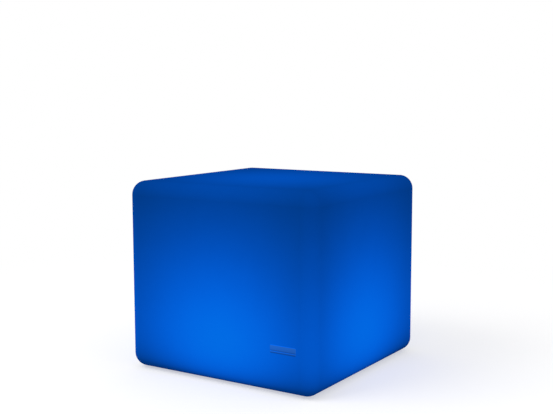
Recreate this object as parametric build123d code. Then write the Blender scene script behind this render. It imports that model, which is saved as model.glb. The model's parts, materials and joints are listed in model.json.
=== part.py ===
"""Battery cube light: a rotationally moulded polyethylene cube, lit by a unit that is screwed into its base.

Millimetres, +Z up. The origin is the middle of the footprint, on the floor that the feet stand on. The
front is -Y. Every sub-part is written as its own STEP file in parts/, named after the piece.
"""

from build123d import *
import os
from math import atan2, cos, degrees, hypot, radians, sin, sqrt

# --- Moulded shell ---------------------------------------------------------------------------------
cube_width = 400.0  # outside width and depth
shell_height = 350.0  # outside height of the moulding, without the feet
edge_radius = 26.0  # round on every outer edge and corner
shell_wall = 4.0  # thickness of the moulded wall

# Well in the underside, with the ledge that the light unit is screwed up against
well_depth = 30.0
well_draft = 4.0  # how much narrower the well is at its ledge
well_edge_radius = 5.0  # round where the underside turns up into the well
shell_boss_wall = 3.5  # plastic round each moulded-in insert

# --- Feet ------------------------------------------------------------------------------------------
foot_radius = 14.0
foot_proud = 2.0  # how far the feet lift the moulding off the floor
foot_socket_depth = 1.5
foot_socket_gap = 0.4
foot_bevel = 1.0
foot_inset = 62.0  # from the side of the cube to the middle of a foot

# --- Threaded inserts and base screws (M4) ---------------------------------------------------------
base_screw_count = 6
base_screw_turn = 30.0  # degrees from +X to the first base screw
base_screw_from_mouth = 13.0  # from the hole in the ledge out to the middles of the screws
base_screw_from_well = 9.0  # from there out to the side of the well
base_thread_radius = 2.0
base_head_radius = 4.0
base_head_height = 2.4
base_hole_radius = 2.3
head_sink = 1.6  # depth of the counterbore under each head
head_sink_gap = 0.5
insert_across_flats = 9.0
insert_length = 12.0
insert_groove_depth = 0.6
insert_groove_height = 1.6
insert_end = 1.0  # left solid above the thread
thread_gap = 0.05  # radial gap between a screw and its thread, and between an insert and the plastic
screw_tip_gap = 1.5  # left between a screw's end and the bottom of its hole
head_bevel_share = 0.35  # of a screw head's height
recess_width_share = 0.28  # of a screw head's radius
recess_depth_share = 0.55  # of a screw head's height

# --- Base cover and the cup that rises from it -----------------------------------------------------
gasket_thickness = 1.5
cover_plate = 4.0  # thickness of the cover's plate
cover_gap = 2.0  # between the cover's rim and the well
gasket_gap = 1.0  # between the gasket's rim and the well
cover_rim_bevel = 1.0
panel_radius = 52.0  # shallow panel that the controls sit in
panel_depth = 0.8
cup_room = 5.6  # between the corners of the battery clamp and the cup wall
cup_wall = 3.0
cup_height = 38.0
mouth_gap = 6.0  # between the cup and the hole in the ledge
stay_rib_count = 8  # gussets between the cup wall and the plate
stay_rib_reach = 9.0
stay_rib_thickness = 2.0
stay_rib_root = 0.5  # how far a gusset reaches into the cup wall

# --- Control board ---------------------------------------------------------------------------------
board_length = 80.0
board_width = 44.0
board_thickness = 1.6
board_middle_y = 14.0
board_standoff = 17.5  # from the cover plate to the underside of the board
board_corner_round = 2.5
board_hole_inset = 4.0
post_radius = 3.2
chip_side = 10.0
chip_height = 1.6
chip_x = 10.0
chip_y = 8.0
charger_side = 6.0
coil_side = 8.0
coil_height = 4.0
coil_x = 26.0
capacitor_count = 3
capacitor_radius = 3.2
capacitor_height = 8.0
capacitor_pitch = 8.0
capacitor_y = 26.0
capacitor_bevel = 0.5
small_thread_radius = 1.25  # M2.5
small_hole_radius = 1.45
small_head_radius = 2.3
small_head_height = 1.6
small_screw_reach = 7.0  # thread length below the piece that the screw holds

# --- Power button ----------------------------------------------------------------------------------
button_x = -24.0
button_y = 16.0
button_radius = 8.0
button_gap = 0.3
button_proud = 1.0  # how far the button stands below the control panel
button_travel = 1.0
button_flange_reach = 1.6
button_flange_height = 1.2
button_seat_thickness = 5.4  # solid end of the button below its spring
collar_height = 4.0
collar_wall = 2.0
flange_rest_gap = 0.1  # between the button's flange and its collar
button_face_round = 1.0
dish_radius = 6.0  # of the shallow finger dish in the button's face
dish_depth = 0.6
seal_from_face = 3.6  # from the button's face to the middle of its seal
seal_height = 1.2
seal_depth = 1.05  # of the seal's groove
seal_proud = 0.1  # how far the seal stands out of the button's side
spring_coil_radius = 5.6
spring_wire_radius = 0.4
spring_turns = 4
spring_end_gap = 0.1
spring_side_gap = 0.7
stem_radius = 2.2
plunger_radius = 1.7
plunger_gap = 0.15
plunger_length = 2.4
switch_side = 6.0
switch_height = 4.0
switch_press_gap = 0.4  # left between the button's stem and the switch when pressed
plunger_end_gap = 0.2  # left above the plunger when pressed

# --- Charging socket and its rubber cap ------------------------------------------------------------
port_x = 24.0
port_y = 16.0
socket_bore_radius = 3.2
socket_bore_depth = 10.0
socket_pin_radius = 1.05
socket_pin_setback = 1.4
socket_flange_radius = 7.0
socket_flange_height = 1.6
socket_thread_radius = 5.9
socket_body_length = 14.0
socket_fit_gap = 0.2
port_boss_radius = 12.0
port_boss_height = 3.0
nut_across_flats = 14.0
nut_height = 3.0
tag_length = 2.4
tag_width = 2.4
tag_thickness = 0.8
tag_pitch = 5.0
cap_radius = 8.0
cap_thickness = 2.0
cap_pocket_gap = 0.4
cap_pocket_depth = 2.2
cap_plug_radius = 2.75
cap_plug_hole_radius = 1.65
cap_plug_length = 2.4
cap_lip_length = 2.5
cap_lip_width = 7.0
cap_lip_drop = 1.0
cap_lip_root = 1.0  # how far the lip reaches in under the cap's rim
cap_edge_round = 0.5
strap_width = 6.0
strap_thickness = 1.4
strap_bend_from_port = 12.0  # from the middle of the socket to where the strap bends
strap_anchor_length = 9.0
strap_bend_gap = 0.5
anchor_peg_radius = 1.6
anchor_barb_radius = 2.4
anchor_barb_height = 1.6

# --- Charge light ----------------------------------------------------------------------------------
light_y = 26.0
light_pipe_radius = 2.0
light_pipe_flange_radius = 3.2
light_pipe_flange_height = 1.0
light_pipe_gap = 0.1
light_pipe_bevel = 0.6
light_pipe_end_gap = 0.3
status_led_side = 3.0
status_led_height = 1.2

# --- Battery ---------------------------------------------------------------------------------------
cell_radius = 9.2
cell_length = 65.0
cell_count = 2
cell_spacing_gap = 0.6
cell_bevel = 0.7
cell_nub_radius = 2.8
cell_nub_length = 1.1
battery_board_gap = 4.3  # between the battery and the edge of the control board, seen from above
saddle_floor = 1.5
saddle_gap = 0.15
saddle_thickness = 2.4
saddle_pitch = 22.0
clamp_width = 14.0
clamp_thickness = 2.0
clamp_corner_round = 5.0
clamp_gap = 0.1
clamp_post_from_cell = 5.5
clamp_end_reach = 5.0

# --- Leads -----------------------------------------------------------------------------------------
lead_radius = 1.3
lead_bore_gap = 0.1
lead_turn_length = 8.0  # how far the battery lead leaves the cells before it turns up
lead_plug_run_length = 7.0  # straight length in front of the battery plug
battery_socket_x = -22.0
battery_plug_length = 8.0
led_socket_x = -5.0
led_socket_shift = 0.5  # from below the deck's hole towards the middle
connector_length = 10.0
connector_width = 6.0
connector_height = 6.0
plug_inset = 0.6  # how much smaller a plug is than its socket, on each side
led_plug_width = 5.0
led_plug_height = 3.5
led_lead_x = 0.0
grommet_wall = 1.3
grommet_lip = 1.0

# --- Light engine ----------------------------------------------------------------------------------
deck_thickness = 2.0
led_board_gap = 3.2  # between the lamp board and the inside of the dome
led_board_thickness = 1.6
lead_hole_gap = 0.5
led_ring_edge = 8.0  # from the outer ring of lamps to the rim of their board
led_ring_pitch = 23.0  # from the inner ring of lamps to the outer
led_inner_count = 8
led_outer_count = 16
led_side = 5.0
led_height = 1.5
receiver_radius = 2.8
receiver_height = 5.0
receiver_round = 2.2
led_board_screw_count = 3
led_board_screw_turn = 60.0  # degrees from +X to the first screw of the lamp board
seal_thickness = 1.2
seal_dome_gap = 2.0  # between the seal's inner rim and the dome's wall
dome_upright = 8.0  # height of the upright wall, from the underside of the flange
dome_knuckle_radius = 22.0
dome_crown_extra = 12.0  # how much larger the crown's radius is than the dome's
dome_wall = 2.2
dome_flange_thickness = 2.5
dome_screw_count = 4
dome_screw_turn = 45.0  # degrees from +X to the first dome screw
dome_screw_edge = 6.0  # from the middle of a dome screw out to the rim of the flange
dome_screw_room = 6.0  # from the middle of a dome screw in to the dome's wall
dome_boss_radius = 4.2
face_gap = 0.05  # between flat pieces that are stacked and screwed together
cut_over = 1.0  # how far a cutting shape reaches past what it cuts

# --- Radii, places and levels worked out from the sizes above --------------------------------------
cell_pitch = 2 * cell_radius + cell_spacing_gap
battery_half_width = cell_count * cell_pitch / 2
battery_middle_y = board_middle_y - board_width / 2 - battery_board_gap - battery_half_width
clamp_post_x = cell_length / 2 + clamp_post_from_cell
clamp_end_x = clamp_post_x + clamp_end_reach
cup_inner_radius = hypot(clamp_end_x, clamp_width / 2 - battery_middle_y) + cup_room
cup_radius = cup_inner_radius + cup_wall
mouth_radius = cup_radius + mouth_gap
base_screw_circle = mouth_radius + base_screw_from_mouth
ledge_radius = base_screw_circle + base_screw_from_well
well_radius = ledge_radius + well_draft
cover_radius = ledge_radius - cover_gap
gasket_radius = ledge_radius - gasket_gap
dome_screw_circle = cup_radius - dome_screw_edge
dome_base_radius = dome_screw_circle - dome_screw_room
dome_crown_radius = dome_base_radius + dome_crown_extra
led_board_radius = dome_base_radius - dome_wall - led_board_gap
led_outer_circle = led_board_radius - led_ring_edge
led_inner_circle = led_outer_circle - led_ring_pitch
led_board_screw_circle = (led_inner_circle + led_outer_circle) / 2
led_lead_y = led_board_screw_circle
receiver_y = -led_board_screw_circle
led_socket_y = led_lead_y - led_socket_shift
shell_bottom = foot_proud
shell_top = shell_bottom + shell_height
ledge_under = shell_bottom + well_depth
ledge_top = ledge_under + shell_wall
plate_top = ledge_under - gasket_thickness - 2 * face_gap
plate_bottom = plate_top - cover_plate
panel_level = plate_bottom + panel_depth
cup_top = plate_top + cup_height
board_under = plate_top + board_standoff
board_top = board_under + board_thickness
deck_under = cup_top + face_gap
deck_top = deck_under + deck_thickness
led_board_under = deck_top + face_gap
led_board_top = led_board_under + led_board_thickness
dome_seal_under = deck_top + face_gap
dome_flange_under = dome_seal_under + seal_thickness + face_gap
dome_flange_top = dome_flange_under + dome_flange_thickness
cell_level = plate_top + saddle_floor + cell_radius
clamp_under = cell_level + cell_radius + clamp_gap
pocket_level = panel_level + cap_pocket_depth
socket_face = pocket_level
port_boss_top = plate_top + port_boss_height
strap_bend_x = port_x + strap_bend_from_port
strap_bend_level = pocket_level - cap_pocket_gap / 2 - strap_thickness / 2
button_face = panel_level - button_proud
collar_top = plate_top + collar_height
button_flange_under = collar_top + flange_rest_gap
button_flange_top = button_flange_under + button_flange_height
spring_seat = button_face + button_seat_thickness
seal_level = button_face + seal_from_face
switch_under = board_under - switch_height
stem_top = switch_under - button_travel - switch_press_gap


def disc(radius, bottom, top, x=0.0, y=0.0):
    """A round bar that stands on the level bottom and reaches the level top."""
    return Pos(x, y, bottom) * Cylinder(radius, top - bottom, align=(Align.CENTER, Align.CENTER, Align.MIN))


def block(length, width, bottom, top, x=0.0, y=0.0):
    """A square-edged block over the level bottom, up to the level top."""
    base = (Align.CENTER, Align.CENTER, Align.MIN)
    return Pos(x, y, bottom) * Box(length, width, top - bottom, align=base)


def ring(outer, inner, bottom, top, x=0.0, y=0.0):
    """A flat ring or a tube."""
    return disc(outer, bottom, top, x, y) - disc(inner, bottom, top, x, y)


def round_places(radius, count, start=0.0):
    """The middles of count pieces that are spaced evenly on a circle."""
    turns = [radians(start + 360.0 * n / count) for n in range(count)]
    return [(radius * cos(turn), radius * sin(turn)) for turn in turns]


def edges_at(piece, level):
    """The edges of a piece that lie flat at one level."""
    return piece.edges().filter_by_position(Axis.Z, level - 0.001, level + 0.001)


def save(node, *pieces):
    """Writes one sub-part, which may be a group of like pieces."""
    solids = [solid for piece in pieces for solid in piece.solids()]
    shape = solids[0] if len(solids) == 1 else Compound(children=solids)
    export_step(shape, f"parts/{node}.step")


# --- Places shared by several pieces ---------------------------------------------------------------
base_screw_places = round_places(base_screw_circle, base_screw_count, base_screw_turn)
dome_screw_places = round_places(dome_screw_circle, dome_screw_count, dome_screw_turn)
led_board_screw_places = round_places(led_board_screw_circle, led_board_screw_count, led_board_screw_turn)
led_rings = ((led_inner_circle, led_inner_count), (led_outer_circle, led_outer_count))
foot_reach = cube_width / 2 - foot_inset
foot_places = [(side_x * foot_reach, side_y * foot_reach) for side_x in (-1, 1) for side_y in (-1, 1)]
post_x = board_length / 2 - board_hole_inset
post_y = board_width / 2 - board_hole_inset
board_post_places = [(x, board_middle_y + y) for x in (-post_x, post_x) for y in (-post_y, post_y)]
clamp_post_places = [(-clamp_post_x, battery_middle_y), (clamp_post_x, battery_middle_y)]
cell_rows = [battery_middle_y + (n - (cell_count - 1) / 2) * cell_pitch for n in range(cell_count)]


def rounded_cube(width, height, bottom, radius):
    """A block with the same round on all its edges and corners."""
    cube = block(width, width, bottom, bottom + height)
    return fillet(cube.edges(), radius)


def well(extra, top):
    """The round well in the underside, grown by extra all round, up to the level top."""
    lower = well_radius + extra
    height = top - shell_bottom
    upper = lower - well_draft * height / well_depth
    base = (Align.CENTER, Align.CENTER, Align.MIN)
    return Pos(0, 0, shell_bottom) * Cone(lower, upper, height, align=base)


def cube_shell():
    """The hollow moulding: one wall all round, a well and a mouth below, and bosses for the inserts."""
    outside = rounded_cube(cube_width, shell_height, shell_bottom, edge_radius) - well(0.0, ledge_under)
    mouth_edge = edges_at(outside, shell_bottom).filter_by(GeomType.CIRCLE)
    outside = fillet(mouth_edge, well_edge_radius)
    inside_width = cube_width - 2 * shell_wall
    inside_height = shell_height - 2 * shell_wall
    inside = rounded_cube(inside_width, inside_height, shell_bottom + shell_wall, edge_radius - shell_wall)
    inside -= well(shell_wall, ledge_top)
    boss_top = ledge_under + insert_length + shell_wall
    for x, y in base_screw_places:
        inside -= disc(insert_across_flats / 2 + shell_boss_wall, ledge_under, boss_top, x, y)
    shell = outside - inside - disc(mouth_radius, ledge_under, ledge_top)
    for x, y in base_screw_places:
        pocket = insert_across_flats + 2 * thread_gap
        shell -= hexagon(pocket, ledge_under, ledge_under + insert_length, x, y)
    for x, y in foot_places:
        socket_radius = foot_radius + foot_socket_gap
        shell -= disc(socket_radius, shell_bottom, shell_bottom + foot_socket_depth, x, y)
    return shell


def rubber_foot(x, y):
    """A round rubber pad, glued into its socket in the underside."""
    foot = disc(foot_radius, 0, shell_bottom + foot_socket_depth, x, y)
    return chamfer(edges_at(foot, 0), foot_bevel)


def hexagon(across_flats, bottom, top, x=0.0, y=0.0):
    """A six-sided bar."""
    return Pos(x, y, bottom) * extrude(RegularPolygon(across_flats / sqrt(3), 6), top - bottom)


def threaded_insert(x, y):
    """A six-sided brass insert that is moulded into the ledge, with a groove that locks it in the plastic."""
    insert = hexagon(insert_across_flats, ledge_under, ledge_under + insert_length, x, y)
    level = ledge_under + (insert_length - insert_groove_height) / 2
    groove = hexagon(insert_across_flats + 2 * cut_over, level, level + insert_groove_height, x, y)
    waist = insert_across_flats - 2 * insert_groove_depth
    insert -= groove - hexagon(waist, level, level + insert_groove_height, x, y)
    thread_top = ledge_under + insert_length - insert_end
    return insert - disc(base_thread_radius + thread_gap, ledge_under, thread_top, x, y)


def pan_screw(x, y, seat, reach, thread_radius, head_radius, head_height, upward=True):
    """A cross-recess pan-head screw. Its head rests on the level seat, on the side away from its thread."""
    way = 1 if upward else -1
    head = disc(head_radius, 0, head_height)
    head = chamfer(edges_at(head, 0), head_height * head_bevel_share)
    shank = disc(thread_radius, head_height, head_height + reach)
    slot_width = head_radius * recess_width_share
    slot_depth = head_height * recess_depth_share
    cross = block(head_radius, slot_width, 0, slot_depth) + block(slot_width, head_radius, 0, slot_depth)
    screw = head + shank - cross
    if not upward:
        screw = Rot(180, 0, 0) * screw
    return Pos(x, y, seat - way * head_height) * screw


def base_screws():
    """The screws that hold the light unit up against the ledge."""
    seat = plate_bottom + head_sink
    reach = ledge_under + insert_length - insert_end - screw_tip_gap - seat
    sizes = (base_thread_radius, base_head_radius, base_head_height)
    return [pan_screw(x, y, seat, reach, *sizes) for x, y in base_screw_places]


def base_gasket():
    """The flat silicone ring between the cover and the ledge."""
    under = plate_top + face_gap
    gasket = ring(gasket_radius, mouth_radius, under, under + gasket_thickness)
    for x, y in base_screw_places:
        gasket -= disc(base_hole_radius, under, under + gasket_thickness, x, y)
    return gasket


def cover_body():
    """The cover's plate, its cup, and everything that stands up inside the cup."""
    plate = disc(cover_radius, plate_bottom, plate_top)
    plate = chamfer(edges_at(plate, plate_bottom), cover_rim_bevel)
    cover = plate + ring(cup_radius, cup_inner_radius, plate_top, cup_top)
    for x, y in dome_screw_places:
        cover += disc(dome_boss_radius, plate_top, cup_top, x, y) & disc(cup_radius, plate_top, cup_top)
    for x, y in board_post_places:
        cover += disc(post_radius, plate_top, board_under, x, y)
    for x, y in clamp_post_places:
        cover += disc(post_radius, plate_top, clamp_under, x, y)
    cover += battery_saddles()
    cover += stay_ribs()
    cover += disc(button_radius + button_gap + collar_wall, plate_top, collar_top, button_x, button_y)
    cover += disc(port_boss_radius, plate_top, port_boss_top, port_x, port_y)
    return cover


def battery_saddles():
    """Ribs across the battery, hollowed to the round of its cells."""
    rib_width = 2 * battery_half_width
    ribs = [
        block(saddle_thickness, rib_width, plate_top, cell_level, n * saddle_pitch, battery_middle_y)
        for n in (-1, 0, 1)
    ]
    hollow = [
        Pos(0, y, cell_level) * Rot(0, 90, 0) * Cylinder(cell_radius + saddle_gap, cell_length)
        for y in cell_rows
    ]
    return Part() + ribs - hollow


def stay_ribs():
    """Gussets in the corner between the cup wall and the plate, on the inside."""
    inner = cup_inner_radius
    face = make_face(
        Polyline(
            (inner - stay_rib_reach / 2, 0),
            (inner + stay_rib_root, 0),
            (inner + stay_rib_root, stay_rib_reach),
            close=True,
        )
    )
    rib = extrude(Plane.XZ * face, stay_rib_thickness / 2, both=True)
    return [
        Rot(0, 0, 360.0 * (n + 0.5) / stay_rib_count) * Pos(0, 0, plate_top) * rib
        for n in range(stay_rib_count)
    ]


def base_cover():
    """The moulded cover with its cup: screw holes, control panel, and the seats of button, socket and cap."""
    cover = cover_body()
    cover -= disc(panel_radius, plate_bottom, panel_level)
    for x, y in base_screw_places:
        cover -= disc(base_hole_radius, plate_bottom, plate_top, x, y)
        sink_radius = base_head_radius + head_sink_gap
        cover -= disc(sink_radius, plate_bottom, plate_bottom + head_sink, x, y)
    for x, y in dome_screw_places:
        cover -= disc(small_thread_radius + thread_gap, cup_top - small_screw_reach, cup_top, x, y)
    for x, y in board_post_places:
        cover -= disc(small_thread_radius + thread_gap, board_under - small_screw_reach, board_under, x, y)
    for x, y in clamp_post_places:
        cover -= disc(small_thread_radius + thread_gap, clamp_under - small_screw_reach, clamp_under, x, y)
    cover -= disc(button_radius + button_gap, plate_bottom, collar_top, button_x, button_y)
    cover -= disc(light_pipe_radius + light_pipe_gap, plate_bottom, plate_top, 0, light_y)
    return cover - port_cuts()


def port_cuts():
    """Everything that is cut out of the cover for the charging socket, its cap and the cap's strap."""
    cuts = disc(cap_radius + cap_pocket_gap, panel_level, pocket_level, port_x, port_y)
    socket_hole = socket_thread_radius + socket_fit_gap
    cuts += disc(socket_hole, pocket_level, port_boss_top, port_x, port_y)
    flange_top = pocket_level + socket_flange_height + socket_fit_gap
    cuts += disc(socket_flange_radius + socket_fit_gap, pocket_level, flange_top, port_x, port_y)
    channel_end = strap_bend_x + strap_anchor_length + cap_pocket_gap
    channel_width = strap_width + 2 * cap_pocket_gap
    channel_length = channel_end - port_x
    channel_middle = port_x + channel_length / 2
    cuts += block(channel_length, channel_width, panel_level, pocket_level, channel_middle, port_y)
    lip_end = port_x - cap_radius - cap_lip_length - cap_pocket_gap
    lip_length = port_x - lip_end
    lip_width = cap_lip_width + 2 * cap_pocket_gap
    cuts += block(lip_length, lip_width, panel_level, pocket_level, port_x - lip_length / 2, port_y)
    peg_x = strap_bend_x + strap_anchor_length / 2
    return cuts + disc(anchor_peg_radius + thread_gap, pocket_level, plate_top, peg_x, port_y)


def power_button():
    """The push button: a cup with a flange that stops it falling out and a stem that works the switch."""
    button = disc(button_radius, button_face, button_flange_top)
    button = fillet(edges_at(button, button_face), button_face_round)
    button += disc(button_radius + button_flange_reach, button_flange_under, button_flange_top)
    pocket_radius = spring_coil_radius + spring_wire_radius + spring_side_gap
    button -= disc(pocket_radius, spring_seat, button_flange_top)
    button += disc(stem_radius, spring_seat, stem_top)
    groove = (seal_level - seal_height / 2, seal_level + seal_height / 2)
    button -= ring(button_radius + cut_over, button_radius - seal_depth, *groove)
    ball_radius = (dish_radius**2 + dish_depth**2) / (2 * dish_depth)
    button -= Pos(0, 0, button_face + dish_depth - ball_radius) * Sphere(ball_radius)
    return Pos(button_x, button_y, 0) * button


def button_seal():
    """The square-cut seal ring in the button's groove."""
    outer = button_radius + seal_proud
    inner = button_radius - seal_depth + thread_gap
    half = seal_height / 2 - thread_gap
    return ring(outer, inner, seal_level - half, seal_level + half, button_x, button_y)


def button_spring():
    """The coil of six-sided wire that pushes the button back down, between its seat and the board."""
    bottom = spring_seat + spring_wire_radius + spring_end_gap
    height = board_under - spring_wire_radius - spring_end_gap - bottom
    path = Helix(height / spring_turns, height, spring_coil_radius)
    section = Plane(path @ 0, z_dir=path % 0) * RegularPolygon(spring_wire_radius, 6)
    return Pos(button_x, button_y, bottom) * sweep(section, path=path, is_frenet=True)


def power_switch():
    """The body of the board-mounted switch, with the bore that its plunger slides in."""
    body = block(switch_side, switch_side, switch_under, board_under)
    bore_top = stem_top + plunger_length + button_travel + plunger_end_gap
    body -= disc(plunger_radius + plunger_gap, switch_under, bore_top)
    return Pos(button_x, button_y, 0) * body


def switch_plunger():
    """The plunger of the switch, which stands on the button's stem and moves with it."""
    return disc(plunger_radius, stem_top, stem_top + plunger_length, button_x, button_y)


def charge_socket():
    """The panel-mount barrel socket: flange, threaded body, blind bore and solder tags."""
    socket = disc(socket_flange_radius, socket_face, socket_face + socket_flange_height)
    socket += disc(socket_thread_radius, socket_face, socket_face + socket_body_length)
    socket -= disc(socket_bore_radius, socket_face, socket_face + socket_bore_depth)
    tag_bottom = socket_face + socket_body_length
    for side in (-1, 1):
        tag_x = side * tag_pitch / 2
        socket += block(tag_thickness, tag_width, tag_bottom, tag_bottom + tag_length, tag_x, 0)
    return Pos(port_x, port_y, 0) * socket


def socket_pin():
    """The centre contact of the charging socket."""
    tip = socket_face + socket_pin_setback
    return disc(socket_pin_radius, tip, socket_face + socket_bore_depth, port_x, port_y)


def socket_nut():
    """The nut that holds the socket down on its boss."""
    under = port_boss_top + face_gap
    top = under + nut_height
    nut = hexagon(nut_across_flats, under, top, port_x, port_y)
    return nut - disc(socket_thread_radius + thread_gap, under, top, port_x, port_y)


def port_cap():
    """The rubber cap: disc, hollow plug, finger lip, and its strap as far as the bend."""
    top = pocket_level - cap_pocket_gap / 2
    bottom = top - cap_thickness
    cap = disc(cap_radius, bottom, top, port_x, port_y)
    cap = fillet(edges_at(cap, bottom), cap_edge_round)
    cap += disc(cap_plug_radius, top, top + cap_plug_length, port_x, port_y)
    cap -= disc(cap_plug_hole_radius, top, top + cap_plug_length, port_x, port_y)
    lip_length = cap_lip_length + cap_lip_root
    lip_x = port_x - cap_radius - cap_lip_length + lip_length / 2
    cap += block(lip_length, cap_lip_width, bottom - cap_lip_drop, top, lip_x, port_y)
    half = strap_thickness / 2
    strap_length = strap_bend_x - port_x
    strap_x = port_x + strap_length / 2
    bend = (strap_bend_level - half, strap_bend_level + half)
    cap += block(strap_length, strap_width, *bend, strap_x, port_y)
    knuckle = Rot(90, 0, 0) * Cylinder(half, strap_width)
    return cap + Pos(strap_bend_x, port_y, strap_bend_level) * knuckle


def cap_anchor():
    """The fixed end of the cap's strap, with a barbed peg through the cover."""
    half = strap_thickness / 2
    start = strap_bend_x + half + strap_bend_gap
    end = strap_bend_x + strap_anchor_length
    level = (strap_bend_level - half, strap_bend_level + half)
    anchor = block(end - start, strap_width, *level, (start + end) / 2, port_y)
    peg_x = strap_bend_x + strap_anchor_length / 2
    barb_under = plate_top + face_gap
    barb_top = barb_under + anchor_barb_height
    anchor += disc(anchor_peg_radius, strap_bend_level, barb_top, peg_x, port_y)
    base = (Align.CENTER, Align.CENTER, Align.MIN)
    barb = Cone(anchor_barb_radius, anchor_peg_radius, anchor_barb_height, align=base)
    return anchor + Pos(peg_x, port_y, barb_under) * barb


def status_light_pipe():
    """The clear pipe that brings the charge light to the control panel."""
    top = board_under - status_led_height - light_pipe_end_gap
    pipe = disc(light_pipe_radius, panel_level, top)
    pipe = chamfer(edges_at(pipe, panel_level), light_pipe_bevel)
    under = plate_top + face_gap
    pipe += disc(light_pipe_flange_radius, under, under + light_pipe_flange_height)
    return Pos(0, light_y, 0) * pipe


def status_led():
    """The small lamp on the underside of the board, over the light pipe."""
    under = board_under - status_led_height
    return block(status_led_side, status_led_side, under, board_under, 0, light_y)


def control_board():
    """The circuit board that carries the switch, the charger and the colour driver."""
    board = block(board_length, board_width, board_under, board_top, 0, board_middle_y)
    board = fillet(board.edges().filter_by(Axis.Z), board_corner_round)
    for x, y in board_post_places:
        board -= disc(small_hole_radius, board_under, board_top, x, y)
    return board


def board_screws():
    """The screws that hold the control board on its posts."""
    seat = board_top
    reach = board_thickness + small_screw_reach - screw_tip_gap
    sizes = (small_thread_radius, small_head_radius, small_head_height)
    return [pan_screw(x, y, seat, reach, *sizes, upward=False) for x, y in board_post_places]


def board_components():
    """The larger parts on the board: two chips, an inductor and a row of capacitors."""
    chip = block(chip_side, chip_side, board_top, board_top + chip_height, chip_x, chip_y)
    charger = block(charger_side, charger_side, board_top, board_top + chip_height, -chip_x, chip_y)
    coil = block(coil_side, coil_side, board_top, board_top + coil_height, coil_x, chip_y)
    top = board_top + capacitor_height
    capacitors = []
    for n in range(capacitor_count):
        capacitor = disc(capacitor_radius, board_top, top, chip_x + n * capacitor_pitch, capacitor_y)
        capacitors.append(chamfer(edges_at(capacitor, top), capacitor_bevel))
    return [chip, charger, coil, *capacitors]


def lead_sockets():
    """The two sockets on the board that the leads plug into."""
    top = board_top + connector_height
    socket_y = board_middle_y - board_width / 2 + connector_width / 2
    battery_socket = block(connector_length, connector_width, board_top, top, battery_socket_x, socket_y)
    led_socket = block(connector_length, connector_width, board_top, top, led_socket_x, led_socket_y)
    return [battery_socket, led_socket]


def battery_cells():
    """The lithium cells, each with a raised cap at its positive end."""
    cells = []
    for y in cell_rows:
        cell = Pos(0, y, cell_level) * Rot(0, 90, 0) * Cylinder(cell_radius, cell_length)
        cell = chamfer(cell.edges().filter_by(GeomType.CIRCLE), cell_bevel)
        nub_x = (cell_length + cell_nub_length) / 2
        cell += Pos(nub_x, y, cell_level) * Rot(0, 90, 0) * Cylinder(cell_nub_radius, cell_nub_length)
        cells.append(cell)
    return cells


def battery_clamp():
    """The strap that holds the cells down in their saddles, screwed to a post at each end."""
    clamp_top = clamp_under + clamp_thickness
    clamp = block(2 * clamp_end_x, clamp_width, clamp_under, clamp_top, 0, battery_middle_y)
    clamp = fillet(clamp.edges().filter_by(Axis.Z), clamp_corner_round)
    for x, y in clamp_post_places:
        clamp -= disc(small_hole_radius, clamp_under, clamp_top, x, y)
    return clamp


def clamp_screws():
    """The screws of the battery clamp."""
    seat = clamp_under + clamp_thickness
    reach = clamp_thickness + small_screw_reach - screw_tip_gap
    sizes = (small_thread_radius, small_head_radius, small_head_height)
    return [pan_screw(x, y, seat, reach, *sizes, upward=False) for x, y in clamp_post_places]


def lead(points):
    """A round lead along straight runs, joined by arcs as wide as the runs allow."""
    vectors = [Vector(*point) for point in points]
    bends = []
    for before, corner, after in zip(vectors, vectors[1:], vectors[2:]):
        turn = (corner - before).get_angle(after - corner)
        shorter = min((corner - before).length, (after - corner).length)
        half_turn = radians(turn / 2)
        bends.append(0.45 * shorter * cos(half_turn) / sin(half_turn))
    path = FilletPolyline(*points, radius=bends)
    section = Plane(path @ 0, z_dir=path % 0) * Circle(lead_radius)
    return sweep(section, path=path)


def battery_lead():
    """The lead from the end of the battery to its plug on the board."""
    end_x = -cell_length / 2 - face_gap
    turn_x = end_x - lead_turn_length
    row = cell_rows[-1]
    plug_level = board_top + connector_height / 2
    plug_end = board_middle_y - board_width / 2 - battery_plug_length
    return lead(
        [
            (end_x, row, cell_level),
            (turn_x, row, cell_level),
            (turn_x, row, plug_level),
            (battery_socket_x, plug_end - lead_plug_run_length, plug_level),
            (battery_socket_x, plug_end - face_gap, plug_level),
        ]
    )


def battery_plug():
    """The plug of the battery lead, pushed against its socket."""
    face = board_middle_y - board_width / 2 - face_gap
    end = board_middle_y - board_width / 2 - battery_plug_length
    width = connector_length - 2 * plug_inset
    under = board_top + plug_inset
    top = board_top + connector_height - plug_inset
    return block(width, face - end, under, top, battery_socket_x, (face + end) / 2)


def led_lead():
    """The lead that feeds the lamps, up from the board and through the deck."""
    start = board_top + connector_height + face_gap
    end = led_board_top - face_gap
    rise = end - start
    return lead(
        [
            (led_socket_x, led_socket_y, start),
            (led_socket_x, led_socket_y, start + 0.18 * rise),
            (led_lead_x, led_lead_y, start + 0.5 * rise),
            (led_lead_x, led_lead_y, end),
        ]
    )


def led_plug():
    """The small connector on the lamp board where the lead ends."""
    top = led_board_top + led_plug_height
    return block(connector_length, led_plug_width, led_board_top, top, led_lead_x, led_lead_y)


def lead_grommet():
    """The rubber ring that lines the lead's hole in the deck."""
    bore = lead_radius + lead_bore_gap
    sleeve = bore + grommet_wall
    lip_top = deck_under - face_gap
    lip_under = lip_top - grommet_lip
    grommet = ring(sleeve, bore, lip_under, deck_top, led_lead_x, led_lead_y)
    return grommet + ring(sleeve + grommet_lip, bore, lip_under, lip_top, led_lead_x, led_lead_y)


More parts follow.
